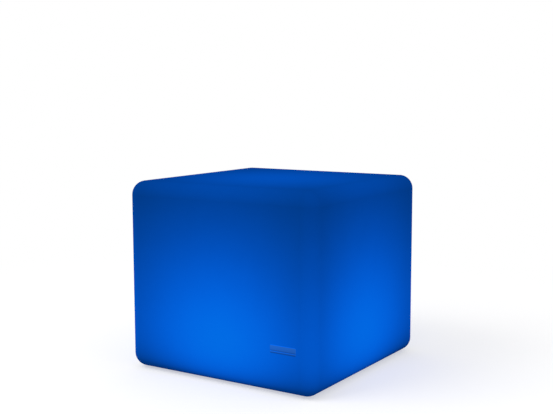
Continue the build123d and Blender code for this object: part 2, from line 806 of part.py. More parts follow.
def led_deck():
    """The aluminium plate that closes the cup and carries heat away from the lamps."""
    deck = disc(cup_radius, deck_under, deck_top)
    for x, y in dome_screw_places:
        deck -= disc(small_hole_radius, deck_under, deck_top, x, y)
    for x, y in led_board_screw_places:
        deck -= disc(small_thread_radius + thread_gap, deck_under, deck_top, x, y)
    hole_radius = lead_radius + lead_bore_gap + grommet_wall + thread_gap
    return deck - disc(hole_radius, deck_under, deck_top, led_lead_x, led_lead_y)


def led_board():
    """The round aluminium-core board that the lamps are soldered to."""
    board = disc(led_board_radius, led_board_under, led_board_top)
    for x, y in led_board_screw_places:
        board -= disc(small_hole_radius, led_board_under, led_board_top, x, y)
    return board - disc(lead_radius + lead_hole_gap, led_board_under, led_board_top, led_lead_x, led_lead_y)


def led_board_screws():
    """The screws that press the lamp board onto the deck."""
    seat = led_board_top
    reach = led_board_thickness + face_gap + deck_thickness
    sizes = (small_thread_radius, small_head_radius, small_head_height)
    return [pan_screw(x, y, seat, reach, *sizes, upward=False) for x, y in led_board_screw_places]


def led_chips():
    """The colour-changing lamps, in rings."""
    lamps = []
    for radius, count in led_rings:
        for x, y in round_places(radius, count, 180.0 / count):
            lamps.append(block(led_side, led_side, led_board_top, led_board_top + led_height, x, y))
    return lamps


def ir_receiver():
    """The receiver for the remote control, which looks out through the dome."""
    body = disc(receiver_radius, led_board_top, led_board_top + receiver_height, 0, receiver_y)
    return fillet(edges_at(body, led_board_top + receiver_height), receiver_round)


def dome_seal():
    """The silicone ring under the dome's flange."""
    top = dome_seal_under + seal_thickness
    seal = ring(cup_radius, dome_base_radius + seal_dome_gap, dome_seal_under, top)
    for x, y in dome_screw_places:
        seal -= disc(small_hole_radius, dome_seal_under, top, x, y)
    return seal


def dome_profile(inset):
    """Half of the dome in section: an upright wall, a knuckle and a flatter crown, moved in by inset."""
    centre_offset = dome_base_radius - dome_knuckle_radius
    centre_drop = sqrt((dome_crown_radius - dome_knuckle_radius) ** 2 - centre_offset**2)
    share = degrees(atan2(centre_drop, centre_offset))
    knuckle_level = dome_flange_under + dome_upright
    crown_level = knuckle_level - centre_drop
    wall = Line((dome_base_radius - inset, dome_flange_under), (dome_base_radius - inset, knuckle_level))
    knuckle = CenterArc((centre_offset, knuckle_level), dome_knuckle_radius - inset, 0, share)
    crown = CenterArc((0, crown_level), dome_crown_radius - inset, share, 90 - share)
    axis_line = Line(crown @ 1, (0, dome_flange_under))
    return make_face([wall, knuckle, crown, axis_line, Line(axis_line @ 1, wall @ 0)])


def diffuser_dome():
    """The frosted dome over the lamps, with the flange that it is screwed down by."""
    flange_width = cup_radius - dome_base_radius + dome_wall
    corner = (Align.MAX, Align.MIN)
    flange = Rectangle(flange_width, dome_flange_thickness, align=corner)
    section = dome_profile(0.0) + Pos(cup_radius, dome_flange_under) * flange - dome_profile(dome_wall)
    dome = revolve(Plane.XZ * section, Axis.Z)
    for x, y in dome_screw_places:
        dome -= disc(small_hole_radius, dome_flange_under, dome_flange_top, x, y)
    return dome


def dome_screws():
    """The screws that hold dome, seal and deck down on the cup."""
    seat = dome_flange_top
    reach = seat - cup_top + small_screw_reach - screw_tip_gap
    sizes = (small_thread_radius, small_head_radius, small_head_height)
    return [pan_screw(x, y, seat, reach, *sizes, upward=False) for x, y in dome_screw_places]


def main():
    """Builds every piece and writes it."""
    os.makedirs("parts", exist_ok=True)
    save("cube_shell", cube_shell())
    save("rubber_feet", *[rubber_foot(x, y) for x, y in foot_places])
    save("threaded_inserts", *[threaded_insert(x, y) for x, y in base_screw_places])
    save("base_gasket", base_gasket())
    save("base_cover", base_cover())
    save("base_screws", *base_screws())
    save("power_button", power_button())
    save("button_seal", button_seal())
    save("button_spring", button_spring())
    save("power_switch", power_switch())
    save("switch_plunger", switch_plunger())
    save("charge_socket", charge_socket())
    save("socket_pin", socket_pin())
    save("socket_nut", socket_nut())
    save("port_cap", port_cap())
    save("cap_anchor", cap_anchor())
    save("status_light_pipe", status_light_pipe())
    save("status_led", status_led())
    save("control_board", control_board())
    save("board_screws", *board_screws())
    save("board_components", *board_components())
    save("lead_sockets", *lead_sockets())
    save("battery_cells", *battery_cells())
    save("battery_clamp", battery_clamp())
    save("clamp_screws", *clamp_screws())
    save("battery_lead", battery_lead())
    save("battery_plug", battery_plug())
    save("led_lead", led_lead())
    save("led_plug", led_plug())
    save("lead_grommet", lead_grommet())
    save("led_deck", led_deck())
    save("led_board", led_board())
    save("led_board_screws", *led_board_screws())
    save("led_chips", *led_chips())
    save("ir_receiver", ir_receiver())
    save("dome_seal", dome_seal())
    save("diffuser_dome", diffuser_dome())
    save("dome_screws", *dome_screws())


main()
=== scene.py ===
"""Looks of a battery cube light: a moulded milky cube, lit blue from inside, on a plain pale studio floor.

Metres, +Z up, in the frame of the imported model. The origin is the middle of the footprint, on the floor.
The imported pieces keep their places. The classes below dress them, or build a finer piece that stands for one.
"""

import json
import logging
from dataclasses import dataclass
from enum import Enum
from math import atan2, cos, degrees, pi, radians, sin, sqrt

import bmesh
import bpy
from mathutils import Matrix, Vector


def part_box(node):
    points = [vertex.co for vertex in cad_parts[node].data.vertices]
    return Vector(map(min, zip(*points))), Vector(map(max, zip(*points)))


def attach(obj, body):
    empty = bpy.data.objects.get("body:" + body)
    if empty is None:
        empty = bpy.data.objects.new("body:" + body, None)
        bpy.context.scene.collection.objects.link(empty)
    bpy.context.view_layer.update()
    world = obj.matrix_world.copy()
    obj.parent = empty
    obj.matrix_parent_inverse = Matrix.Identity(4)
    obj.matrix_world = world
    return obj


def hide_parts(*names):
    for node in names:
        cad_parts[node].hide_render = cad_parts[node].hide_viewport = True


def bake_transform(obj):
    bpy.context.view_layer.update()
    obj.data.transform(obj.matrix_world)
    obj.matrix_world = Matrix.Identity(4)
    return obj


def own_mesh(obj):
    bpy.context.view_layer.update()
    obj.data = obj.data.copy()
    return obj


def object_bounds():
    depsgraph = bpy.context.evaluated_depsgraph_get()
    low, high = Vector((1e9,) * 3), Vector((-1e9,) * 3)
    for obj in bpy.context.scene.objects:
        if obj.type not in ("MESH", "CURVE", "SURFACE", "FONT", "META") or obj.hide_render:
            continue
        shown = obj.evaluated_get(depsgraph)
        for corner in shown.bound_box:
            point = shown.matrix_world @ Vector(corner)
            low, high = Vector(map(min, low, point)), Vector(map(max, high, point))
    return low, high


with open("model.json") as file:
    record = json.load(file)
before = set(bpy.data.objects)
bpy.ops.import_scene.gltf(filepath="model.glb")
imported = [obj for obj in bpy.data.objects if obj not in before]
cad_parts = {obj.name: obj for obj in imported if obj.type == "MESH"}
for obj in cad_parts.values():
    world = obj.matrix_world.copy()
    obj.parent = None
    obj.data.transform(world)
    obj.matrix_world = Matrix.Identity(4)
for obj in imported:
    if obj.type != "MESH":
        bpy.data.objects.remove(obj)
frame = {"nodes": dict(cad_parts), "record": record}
cad_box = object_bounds()

Colour = tuple[float, float, float]
Point = tuple[float, float, float]
Flat = tuple[float, float]
Ring = list[Point]
Socket = bpy.types.NodeSocket
Value = Socket | float
Material = bpy.types.Material
Piece = bpy.types.Object

log = logging.getLogger("cube_light")

MILLIMETRE = 0.001
SAME_PLACE = 0.001 * MILLIMETRE  # points closer than this are one
SHARP_ANGLE = radians(35.0)  # edges that bend more than this stay crisp
COLOUR_A, COLOUR_B, COLOUR_RESULT = 6, 7, 2  # colour sockets of the Mix node


class Body(Enum):
    """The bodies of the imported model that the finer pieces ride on."""

    ROOT = "root"
    CAP = "cap"


# --- Material nodes --------------------------------------------------------------------------------


@dataclass(frozen=True)
class Pattern:
    """A smooth random pattern, about 0.5 on average."""

    scale: float  # features in a metre
    detail: float = 2.0  # finer layers
    rough: float = 0.5  # how strong the finer layers are
    stretch: Point = (1.0, 1.0, 1.0)  # how much denser it is along each axis


class Nodes:
    """A node tree, with a short call for each kind of node that is used here."""

    def __init__(self, tree: bpy.types.NodeTree) -> None:
        """Takes a tree over and empties it."""
        self.tree = tree
        self.tree.nodes.clear()

    def node(self, kind: str, **settings: object) -> bpy.types.Node:
        """Adds a node and sets its properties.

        Args:
            kind: the node's type name.
            settings: properties of the node, by name.

        Returns:
            The new node.
        """
        made = self.tree.nodes.new(kind)
        for name, value in settings.items():
            setattr(made, name, value)
        return made

    def fill(self, target: Socket, value: Value | Colour) -> None:
        """Gives an input socket a link or a fixed value.

        Args:
            target: the input socket.
            value: another node's output, or a number, colour or point.
        """
        if isinstance(value, bpy.types.NodeSocket):
            self.tree.links.new(value, target)
        elif isinstance(value, tuple) and target.type == "RGBA":
            target.default_value = (*value, 1.0)
        else:
            target.default_value = value

    def feed(self, node: bpy.types.Node, *first: Value | Point, **named: Value | Colour) -> bpy.types.Node:
        """Fills a node's inputs.

        Args:
            node: the node.
            first: what goes into its first inputs, in order.
            named: what goes into other inputs, named with _ for each space.

        Returns:
            The node.
        """
        for target, value in zip(node.inputs, first):
            self.fill(target, value)
        for name, value in named.items():
            self.fill(node.inputs[name.replace("_", " ")], value)
        return node

    def math(self, operation: str, *values: Value) -> Socket:
        """The number that an operation of the Math node makes of its inputs."""
        return self.feed(self.node("ShaderNodeMath", operation=operation), *values).outputs["Value"]

    def vector(self, operation: str, *values: Value | Point) -> Socket:
        """The vector, or the number, that an operation of the Vector Math node makes of its inputs."""
        made = self.feed(self.node("ShaderNodeVectorMath", operation=operation), *values)
        return made.outputs["Value" if operation in ("LENGTH", "DOT_PRODUCT") else "Vector"]

    def mixed(self, share: Value, first: Socket, second: Socket) -> Socket:
        """A shader that goes from the first to the second as share goes from 0 to 1."""
        return self.feed(self.node("ShaderNodeMixShader"), share, first, second).outputs["Shader"]

    def between(self, share: Value, low: float, high: float) -> Socket:
        """A number that goes from low to high as share goes from 0 to 1."""
        return self.math("MULTIPLY_ADD", share, high - low, low)

    def seen(self) -> Socket:
        """Tells the rays that show a thing from those that only light others.

        Returns:
            A socket: 1 for a thing seen by the camera, in a reflection or through glass, and otherwise 0.
        """
        path = self.node("ShaderNodeLightPath").outputs
        mirrored = self.math("MAXIMUM", path["Is Glossy Ray"], path["Is Transmission Ray"])
        return self.math("MAXIMUM", path["Is Camera Ray"], mirrored)


class NodeSheet(Nodes):
    """The nodes of one material: a Principled shader, and the place and slope of the object's surface."""

    def __init__(self, name: str) -> None:
        """Starts a material.

        Args:
            name: its name.
        """
        self.made = bpy.data.materials.new(name)
        self.made.use_nodes = True
        super().__init__(self.made.node_tree)
        self.output = self.node("ShaderNodeOutputMaterial")
        self.shader = self.node("ShaderNodeBsdfPrincipled")
        self.feed(self.output, Surface=self.shader.outputs["BSDF"])
        coordinates = self.node("ShaderNodeTexCoord")
        self.place = coordinates.outputs["Object"]
        self.normal = coordinates.outputs["Normal"]

    def set(self, **values: Value | Colour) -> None:
        """Sets inputs of the Principled shader, named with _ for each space, such as Base_Color."""
        self.feed(self.shader, **values)

    def along(self, axis: str, where: Socket | None = None) -> Socket:
        """The X, Y or Z coordinate of a vector, or of the place on the object if no vector is given."""
        return self.feed(self.node("ShaderNodeSeparateXYZ"), Vector=where or self.place).outputs[axis]

    def noise(self, pattern: Pattern) -> Socket:
        """Lays a pattern over the object.

        Args:
            pattern: its sizes.

        Returns:
            The pattern's socket.
        """
        where = self.vector("MULTIPLY", self.place, pattern.stretch)
        sizes = {"Scale": pattern.scale, "Detail": pattern.detail, "Roughness": pattern.rough}
        return self.feed(self.node("ShaderNodeTexNoise"), Vector=where, **sizes).outputs["Fac"]

    def blend(self, share: Value, first: Colour | Socket, second: Colour | Socket) -> Socket:
        """A colour that goes from the first to the second as share goes from 0 to 1.

        Args:
            share: the mix factor.
            first: the colour at 0.
            second: the colour at 1.

        Returns:
            The colour's socket.
        """
        made = self.feed(self.node("ShaderNodeMix", data_type="RGBA"), Factor=share)
        self.fill(made.inputs[COLOUR_A], first)
        self.fill(made.inputs[COLOUR_B], second)
        return made.outputs[COLOUR_RESULT]

    def gloss(self, pattern: Value, smoothest: float, spread: float) -> None:
        """Sets the roughness: smoothest where a pattern is 0, and more by spread where it is 1."""
        self.set(Roughness=self.math("MULTIPLY_ADD", pattern, spread, smoothest))

    def bump(self, height: Value, depth: float) -> None:
        """Roughens the surface with a height pattern, which is depth metres deep."""
        made = self.feed(self.node("ShaderNodeBump"), Height=height, Distance=depth)
        self.set(Normal=made.outputs["Normal"])


# --- Finishes --------------------------------------------------------------------------------------


def toned(colour: Colour, share: float) -> Colour:
    """A colour with each channel multiplied by a share."""
    return tuple(channel * share for channel in colour)


@dataclass(frozen=True)
class Finish:
    """A finish of the object. Each kind paints the sheet of its material in its own way."""

    name: str

    def paint(self, sheet: NodeSheet) -> None:
        """Sets up the shader on the sheet."""
        raise NotImplementedError

    def material(self) -> Material:
        """Makes the material.

        Returns:
            The material.
        """
        sheet = NodeSheet(self.name)
        self.paint(sheet)
        return sheet.made


@dataclass(frozen=True)
class GlowingSkin(Finish):
    """Milky polyethylene lit blue from inside, brightest where the skin is close to the lamps."""

    name: str = "glowing_shell"
    lamp: Point = (0.0080, -0.0159, 0.0492)
    reach: float = 0.2025  # distance from the lamps at which the skin gets a light of 1
    evenness: float = 0.938  # how evenly the skin spreads light that reaches it at a slant
    rim_level: float = 0.002  # underside of the moulding, which the light unit leaves in shade
    rim_shade: float = 1.007
    rim_fade: float = 0.0283
    least_light: float = 0.16
    least_blend: float = 0.10
    most_light: float = 1.1
    skin: Colour = (0.0, 0.012, 0.045)  # what the skin shows of the light that falls on it
    studio_light: float = 0.9  # how much light falls on the skin in the studio
    shown_least: Colour = (0.0006, 0.0102, -0.0188)  # what the lit skin shows, carried on down to no light
    shown_rise: Colour = (0.0, 0.1680, 1.3958)  # what a light of 1 adds to it
    shown_bend: Colour = (0.0, 0.0366, 0.6046)  # what the square of the light takes off again
    clouds: tuple[tuple[Pattern, float], ...] = (  # patterns in the glow, and how far each turns it
        (Pattern(26.0, 4.0, 0.55), 0.035),
        (Pattern(150.0), 0.025),
        (Pattern(420.0), 0.015),
    )
    grain: Pattern = Pattern(420.0)
    grain_height: float = 0.04 * MILLIMETRE
    smoothest: float = 0.50
    spread: float = 0.12

    def light(self, sheet: NodeSheet) -> Socket:
        """How much lamp light reaches each place on the skin.

        Args:
            sheet: the material's nodes.

        Returns:
            The light's socket.
        """
        offset = sheet.vector("SUBTRACT", sheet.place, self.lamp)
        facing = sheet.vector("DOT_PRODUCT", sheet.vector("NORMALIZE", offset), sheet.normal)
        slant = sheet.math("MAXIMUM", facing, 0.0)
        leaving = sheet.between(slant, self.evenness / (1.0 + self.evenness), 1.0)
        near = sheet.math("POWER", sheet.math("DIVIDE", self.reach, sheet.vector("LENGTH", offset)), 2.0)
        climb = sheet.math("SUBTRACT", sheet.along("Z"), self.rim_level)
        fade = sheet.math("EXPONENT", sheet.math("DIVIDE", climb, -self.rim_fade))
        clear = sheet.between(fade, 1.0, 1.0 - self.rim_shade)
        direct = sheet.math("MULTIPLY", sheet.math("MULTIPLY", leaving, near), clear)
        return sheet.math("SMOOTH_MAX", direct, self.least_light, self.least_blend)

    def emitted(self, sheet: NodeSheet, light: Socket) -> Socket:
        """The light that the skin gives off itself: what it shows, less what it reflects of the studio.

        Args:
            sheet: the material's nodes.
            light: how much lamp light reaches the skin.

        Returns:
            The colour's socket.
        """
        least = tuple(shown - own * self.studio_light for shown, own in zip(self.shown_least, self.skin))
        rise = sheet.vector("MULTIPLY_ADD", light, toned(self.shown_bend, -1.0), self.shown_rise)
        return sheet.vector("MULTIPLY_ADD", light, rise, least)

    def given_off(self, sheet: NodeSheet, glow: Socket) -> Socket:
        """The glow as it leaves the surface. Here nothing lies over it."""
        return glow

    def paint(self, sheet: NodeSheet) -> None:
        """Lets the clouded glow come through the skin.

        Args:
            sheet: the material's nodes.
        """
        light = self.light(sheet)
        for pattern, depth in self.clouds:
            cloud = sheet.between(sheet.noise(pattern), 1.0 - depth, 1.0 + depth)
            light = sheet.math("MULTIPLY", light, cloud)
        glow = self.emitted(sheet, sheet.math("MINIMUM", light, self.most_light))
        sheet.set(Base_Color=self.skin, Emission_Color=self.given_off(sheet, glow), Emission_Strength=1.0)
        sheet.set(Specular_IOR_Level=0.0)
        grain = sheet.noise(self.grain)
        sheet.gloss(grain, self.smoothest, self.spread)
        sheet.bump(grain, self.grain_height)


@dataclass(frozen=True)
class FilmedSkin(GlowingSkin):
    """The lit skin behind a thin grey film, with painted light from above: lighter where it faces up and darker
    where it faces down.
    """

    name: str = "bare_plate"
    film: Colour = (0.0165, 0.0400, 0.0240)  # the studio light that the film reflects, painted into the glow
    veil: float = 0.84  # share of the glow that comes through the film
    # painted highlight and painted shade: how much the glow is lightened where the surface faces up and
    # darkened where it faces down
    slope_shade: float = 0.85
    film_slope_fade: float = 2.4  # how soon the film's painted studio light fades out as the surface slopes up or down

    def given_off(self, sheet: NodeSheet, glow: Socket) -> Socket:
        """The glow as it leaves the film.

        Args:
            sheet: the material's nodes.
            glow: the light that comes through the skin.

        Returns:
            The colour's socket.
        """
        # Painted light from above: the glow is lightened on faces that slope up and darkened on faces that
        # slope down, and the film's painted studio light fades out on every slope.
        upward = sheet.along("Z", sheet.normal)
        through = sheet.math("MULTIPLY_ADD", upward, self.slope_shade, self.veil)
        film_fade = sheet.math("MULTIPLY", sheet.math("ABSOLUTE", upward), self.film_slope_fade)
        left = sheet.math("MAXIMUM", sheet.math("SUBTRACT", 1.0, film_fade), 0.0)
        film = sheet.vector("MULTIPLY", self.film, left)
        return sheet.vector("ADD", sheet.vector("MULTIPLY", glow, through), film)


@dataclass(frozen=True)
class MouldedPlastic(Finish):
    """Injection-moulded plastic with a fine spark-eroded grain and slight flow marks."""

    colour: Colour
    smoothest: float = 0.36
    spread: float = 0.16
    flow: Pattern = Pattern(34.0, 4.0, 0.6, (1.0, 0.35, 1.0))
    tone: float = 0.95  # the colour in the flow marks, as a share of the full one
    grain: Pattern = Pattern(2600.0, 2.0, 0.6)
    grain_height: float = 0.02 * MILLIMETRE

    def paint(self, sheet: NodeSheet) -> None:
        """Lays flow marks into the colour and the grain over the surface.

        Args:
            sheet: the material's nodes.
        """
        sheet.set(Base_Color=sheet.blend(sheet.noise(self.flow), toned(self.colour, self.tone), self.colour))
        grain = sheet.noise(self.grain)
        sheet.gloss(grain, self.smoothest, self.spread)
        sheet.bump(grain, self.grain_height)


@dataclass(frozen=True)
class SoftRubber(Finish):
    """Rubber or silicone: dull, faintly dusty, with a matt mould texture."""

    colour: Colour
    smoothest: float = 0.62
    spread: float = 0.18
    dust: Colour = (0.30, 0.30, 0.29)
    dust_share: float = 0.03
    patches: Pattern = Pattern(55.0, 5.0, 0.62)
    grain: Pattern = Pattern(3200.0)
    grain_height: float = 0.03 * MILLIMETRE
    sheen: float = 0.05
    specular: float = 0.3  # below the usual 0.5: the mould texture swallows light

    def paint(self, sheet: NodeSheet) -> None:
        """Dusts the colour in patches, which are duller too.

        Args:
            sheet: the material's nodes.
        """
        patches = sheet.noise(self.patches)
        dusty = tuple(own + (dust - own) * self.dust_share for own, dust in zip(self.colour, self.dust))
        sheet.set(Base_Color=sheet.blend(patches, self.colour, dusty))
        sheet.set(Sheen_Weight=self.sheen, Specular_IOR_Level=self.specular)
        sheet.gloss(patches, self.smoothest, self.spread)
        sheet.bump(sheet.noise(self.grain), self.grain_height)


class Grain(Enum):
    """Which way the tool marks run on metal."""

    TURNED = Pattern(420.0, 3.0, 0.55, (1.0, 1.0, 24.0))
    ROLLED = Pattern(420.0, 3.0, 0.55, (24.0, 1.0, 1.0))
    CAST = Pattern(420.0, 3.0, 0.55)


@dataclass(frozen=True)
class BareMetal(Finish):
    """Plated, turned or rolled metal with fine tool marks."""

    colour: Colour
    smoothest: float = 0.20
    grain: Grain = Grain.TURNED
    spread: float = 0.20
    grain_height: float = 0.012 * MILLIMETRE
    stains: Pattern = Pattern(160.0, 4.0, 0.6)
    stain: float = 0.86  # the colour in a stain, as a share of the full one

    def paint(self, sheet: NodeSheet) -> None:
        """Stains the metal faintly and lays the tool marks over it.

        Args:
            sheet: the material's nodes.
        """
        stained = sheet.blend(sheet.noise(self.stains), toned(self.colour, self.stain), self.colour)
        sheet.set(Base_Color=stained, Metallic=1.0)
        marks = sheet.noise(self.grain.value)
        sheet.gloss(marks, self.smoothest, self.spread)
        sheet.bump(marks, self.grain_height)


@dataclass(frozen=True)
class ClearPlastic(Finish):
    """Clear acrylic with faint moulding swirls."""

    colour: Colour = (0.93, 0.96, 0.97)
    clarity: float = 0.9
    refraction: float = 1.49
    smoothest: float = 0.04
    spread: float = 0.07
    swirls: Pattern = Pattern(240.0, 3.0)
    swirl_height: float = 0.01 * MILLIMETRE

    def paint(self, sheet: NodeSheet) -> None:
        """Makes it see-through, with the swirls in its surface.

        Args:
            sheet: the material's nodes.
        """
        sheet.set(Base_Color=self.colour, Transmission_Weight=self.clarity, IOR=self.refraction)
        swirls = sheet.noise(self.swirls)
        sheet.gloss(swirls, self.smoothest, self.spread)
        sheet.bump(swirls, self.swirl_height)


@dataclass(frozen=True)
class FrostedDome(Finish):
    """Opal plastic over the lamps, glowing from the lamps behind it."""

    colour: Colour = (0.70, 0.80, 0.92)
    glow: Colour = (0.01, 0.18, 0.85)
    glow_top: float = 0.115  # level of the crown
    glow_foot: float = 0.072  # level of the flange
    foot_share: float = 0.25  # of the glow, at the flange
    smoothest: float = 0.45
    spread: float = 0.17
    frost: Pattern = Pattern(1800.0)
    frost_height: float = 0.02 * MILLIMETRE

    def paint(self, sheet: NodeSheet) -> None:
        """Lets the glow grow from the flange to the crown, behind the frost.

        Args:
            sheet: the material's nodes.
        """
        rise = sheet.math("SUBTRACT", sheet.along("Z"), self.glow_foot)
        share = sheet.math("DIVIDE", rise, self.glow_top - self.glow_foot)
        glow = sheet.blend(share, toned(self.glow, self.foot_share), self.glow)
        sheet.set(Base_Color=self.colour, Emission_Color=glow, Emission_Strength=1.0)
        frost = sheet.noise(self.frost)
        sheet.gloss(frost, self.smoothest, self.spread)
        sheet.bump(frost, self.frost_height)


@dataclass(frozen=True)
class CircuitBoard(Finish):
    """A lacquered board: copper tracks show through as slightly raised, parallel lines, in patches."""

    lacquer: Colour
    track: Colour
    patch: float = 13.0 * MILLIMETRE  # across the tracks that run one way
    pitch: float = 1.3 * MILLIMETRE  # from one track to the next
    track_share: float = 0.38  # a track's width, as a share of the pitch
    track_height: float = 0.03 * MILLIMETRE
    cover: Pattern = Pattern(75.0, 0.0)
    covered: float = 0.50  # tracks are drawn where the cover is above this
    smoothest: float = 0.26
    spread: float = 0.14
    grain: Pattern = Pattern(1500.0)
    coat: float = 0.3
    coat_roughness: float = 0.2

    def tracks(self, sheet: NodeSheet) -> Socket:
        """1 on a track and 0 beside it.

        Args:
            sheet: the material's nodes.

        Returns:
            The pattern's socket.
        """
        patches = sheet.node("ShaderNodeTexVoronoi", distance="CHEBYCHEV")
        sheet.feed(patches, Vector=sheet.place, Scale=1.0 / self.patch)
        turned = sheet.math("GREATER_THAN", sheet.along("X", patches.outputs["Color"]), 0.5)
        other_way = sheet.math("SUBTRACT", sheet.along("X"), sheet.along("Y"))
        across = sheet.math("MULTIPLY_ADD", turned, other_way, sheet.along("Y"))
        phase = sheet.math("FRACT", sheet.math("DIVIDE", across, self.pitch))
        cover = sheet.math("GREATER_THAN", sheet.noise(self.cover), self.covered)
        return sheet.math("MULTIPLY", sheet.math("LESS_THAN", phase, self.track_share), cover)

    def paint(self, sheet: NodeSheet) -> None:
        """Draws the tracks under the lacquer.

        Args:
            sheet: the material's nodes.
        """
        tracks = self.tracks(sheet)
        sheet.set(Base_Color=sheet.blend(tracks, self.lacquer, self.track))
        sheet.set(Coat_Weight=self.coat, Coat_Roughness=self.coat_roughness)
        sheet.gloss(sheet.noise(self.grain), self.smoothest, self.spread)
        sheet.bump(tracks, self.track_height)


@dataclass(frozen=True)
class LampFace(Finish):
    """The lit filling of a colour-changing lamp."""

    colour: Colour = (0.82, 0.83, 0.80)
    glow: Colour = (0.02, 0.25, 1.0)
    strength: float = 0.6
    dim_share: float = 0.8  # of the glow, where the grain is low
    smoothest: float = 0.30
    spread: float = 0.15
    grain: Pattern = Pattern(1400.0)

    def paint(self, sheet: NodeSheet) -> None:
        """Lets the grain vary the glow.

        Args:
            sheet: the material's nodes.
        """
        grain = sheet.noise(self.grain)
        glow = sheet.blend(grain, toned(self.glow, self.dim_share), self.glow)
        sheet.set(Base_Color=self.colour, Emission_Color=glow, Emission_Strength=self.strength)
        sheet.gloss(grain, self.smoothest, self.spread)


@dataclass(frozen=True)
class ShrinkWrap(Finish):
    """The shrunk plastic sleeve of a battery cell, with faint creases round it."""

    colour: Colour = (0.02, 0.19, 0.25)
    pale: Colour = (0.037, 0.2665, 0.3475)  # the stretched sleeve between the creases
    creases: Pattern = Pattern(130.0, 4.0, 0.6, (2.5, 0.5, 0.5))
    crease_height: float = 0.06 * MILLIMETRE
    smoothest: float = 0.22
    spread: float = 0.16
    coat: float = 0.2
    coat_roughness: float = 0.15

    def paint(self, sheet: NodeSheet) -> None:
        """Creases the sleeve.

        Args:
            sheet: the material's nodes.
        """
        creases = sheet.noise(self.creases)
        sheet.set(Base_Color=sheet.blend(creases, self.colour, self.pale))
        sheet.set(Coat_Weight=self.coat, Coat_Roughness=self.coat_roughness)
        sheet.gloss(creases, self.smoothest, self.spread)
        sheet.bump(creases, self.crease_height)


# --- Mesh building ---------------------------------------------------------------------------------


def arc(radius: float, start: float, end: float, steps: int, middle: Flat = (0.0, 0.0)) -> list[Flat]:
    """The ends of the chords of an arc that runs from a start angle to an end angle, both in degrees."""
    angles = [radians(start + (end - start) * n / steps) for n in range(steps + 1)]
    return [(middle[0] + radius * cos(angle), middle[1] + radius * sin(angle)) for angle in angles]


def rounded(half: Flat, corner: float, steps: int, side_steps: int = 1) -> list[Flat]:
    """The outline of a rectangle with rounded corners, about its middle.

    Args:
        half: half of its width and of its height.
        corner: radius of its corners.
        steps: how many chords each corner has.
        side_steps: how many stretches each side is shared out into.

    Returns:
        Its points.
    """
    corners = []
    for quarter, (x, y) in enumerate(((1, 1), (-1, 1), (-1, -1), (1, -1))):
        middle = (x * (half[0] - corner), y * (half[1] - corner))
        corners.append(arc(corner, 90.0 * quarter, 90.0 * quarter + 90.0, steps, middle))
    points: list[Flat] = []
    for here, there in zip(corners, corners[1:] + corners[:1]):
        (x, y), (next_x, next_y) = here[-1], there[0]
        shares = [n / side_steps for n in range(1, side_steps)]
        points += here + [(x + (next_x - x) * share, y + (next_y - y) * share) for share in shares]
    return points


def lifted(outline: list[Flat], level: float, middle: Flat = (0.0, 0.0)) -> Ring:
    """An outline as a level ring round a middle."""
    return [(middle[0] + x, middle[1] + y, level) for x, y in outline]


def middle_of(low: Vector, high: Vector) -> Flat:
    """The middle of a box, seen from above."""
    return (low.x + high.x) / 2.0, (low.y + high.y) / 2.0


def solid_boxes(node: str) -> list[tuple[Vector, Vector]]:
    """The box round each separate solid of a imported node.

    Args:
        node: the node's name.

    Returns:
        The lowest and the highest corner of each solid, in order of place.
    """
    mesh = bmesh.new()
    mesh.from_mesh(frame["nodes"][node].data)
    bmesh.ops.remove_doubles(mesh, verts=mesh.verts, dist=SAME_PLACE)
    left = set(mesh.verts)
    boxes = []
    while left:
        solid = [left.pop()]
        for vert in solid:
            reached = {edge.other_vert(vert) for edge in vert.link_edges} & left
            left -= reached
            solid += reached
        axes = list(zip(*(vert.co for vert in solid)))
        boxes.append((Vector(min(axis) for axis in axes), Vector(max(axis) for axis in axes)))
    mesh.free()
    return sorted(boxes, key=lambda corners: tuple(corners[0]))


def placed(name: str, data: bpy.types.ID) -> Piece:
    """Puts a new object into the scene.

    Args:
        name: its name.
        data: its mesh, light or camera.

    Returns:
        The object.
    """
    made = bpy.data.objects.new(name, data)
    bpy.context.scene.collection.objects.link(made)
    return made


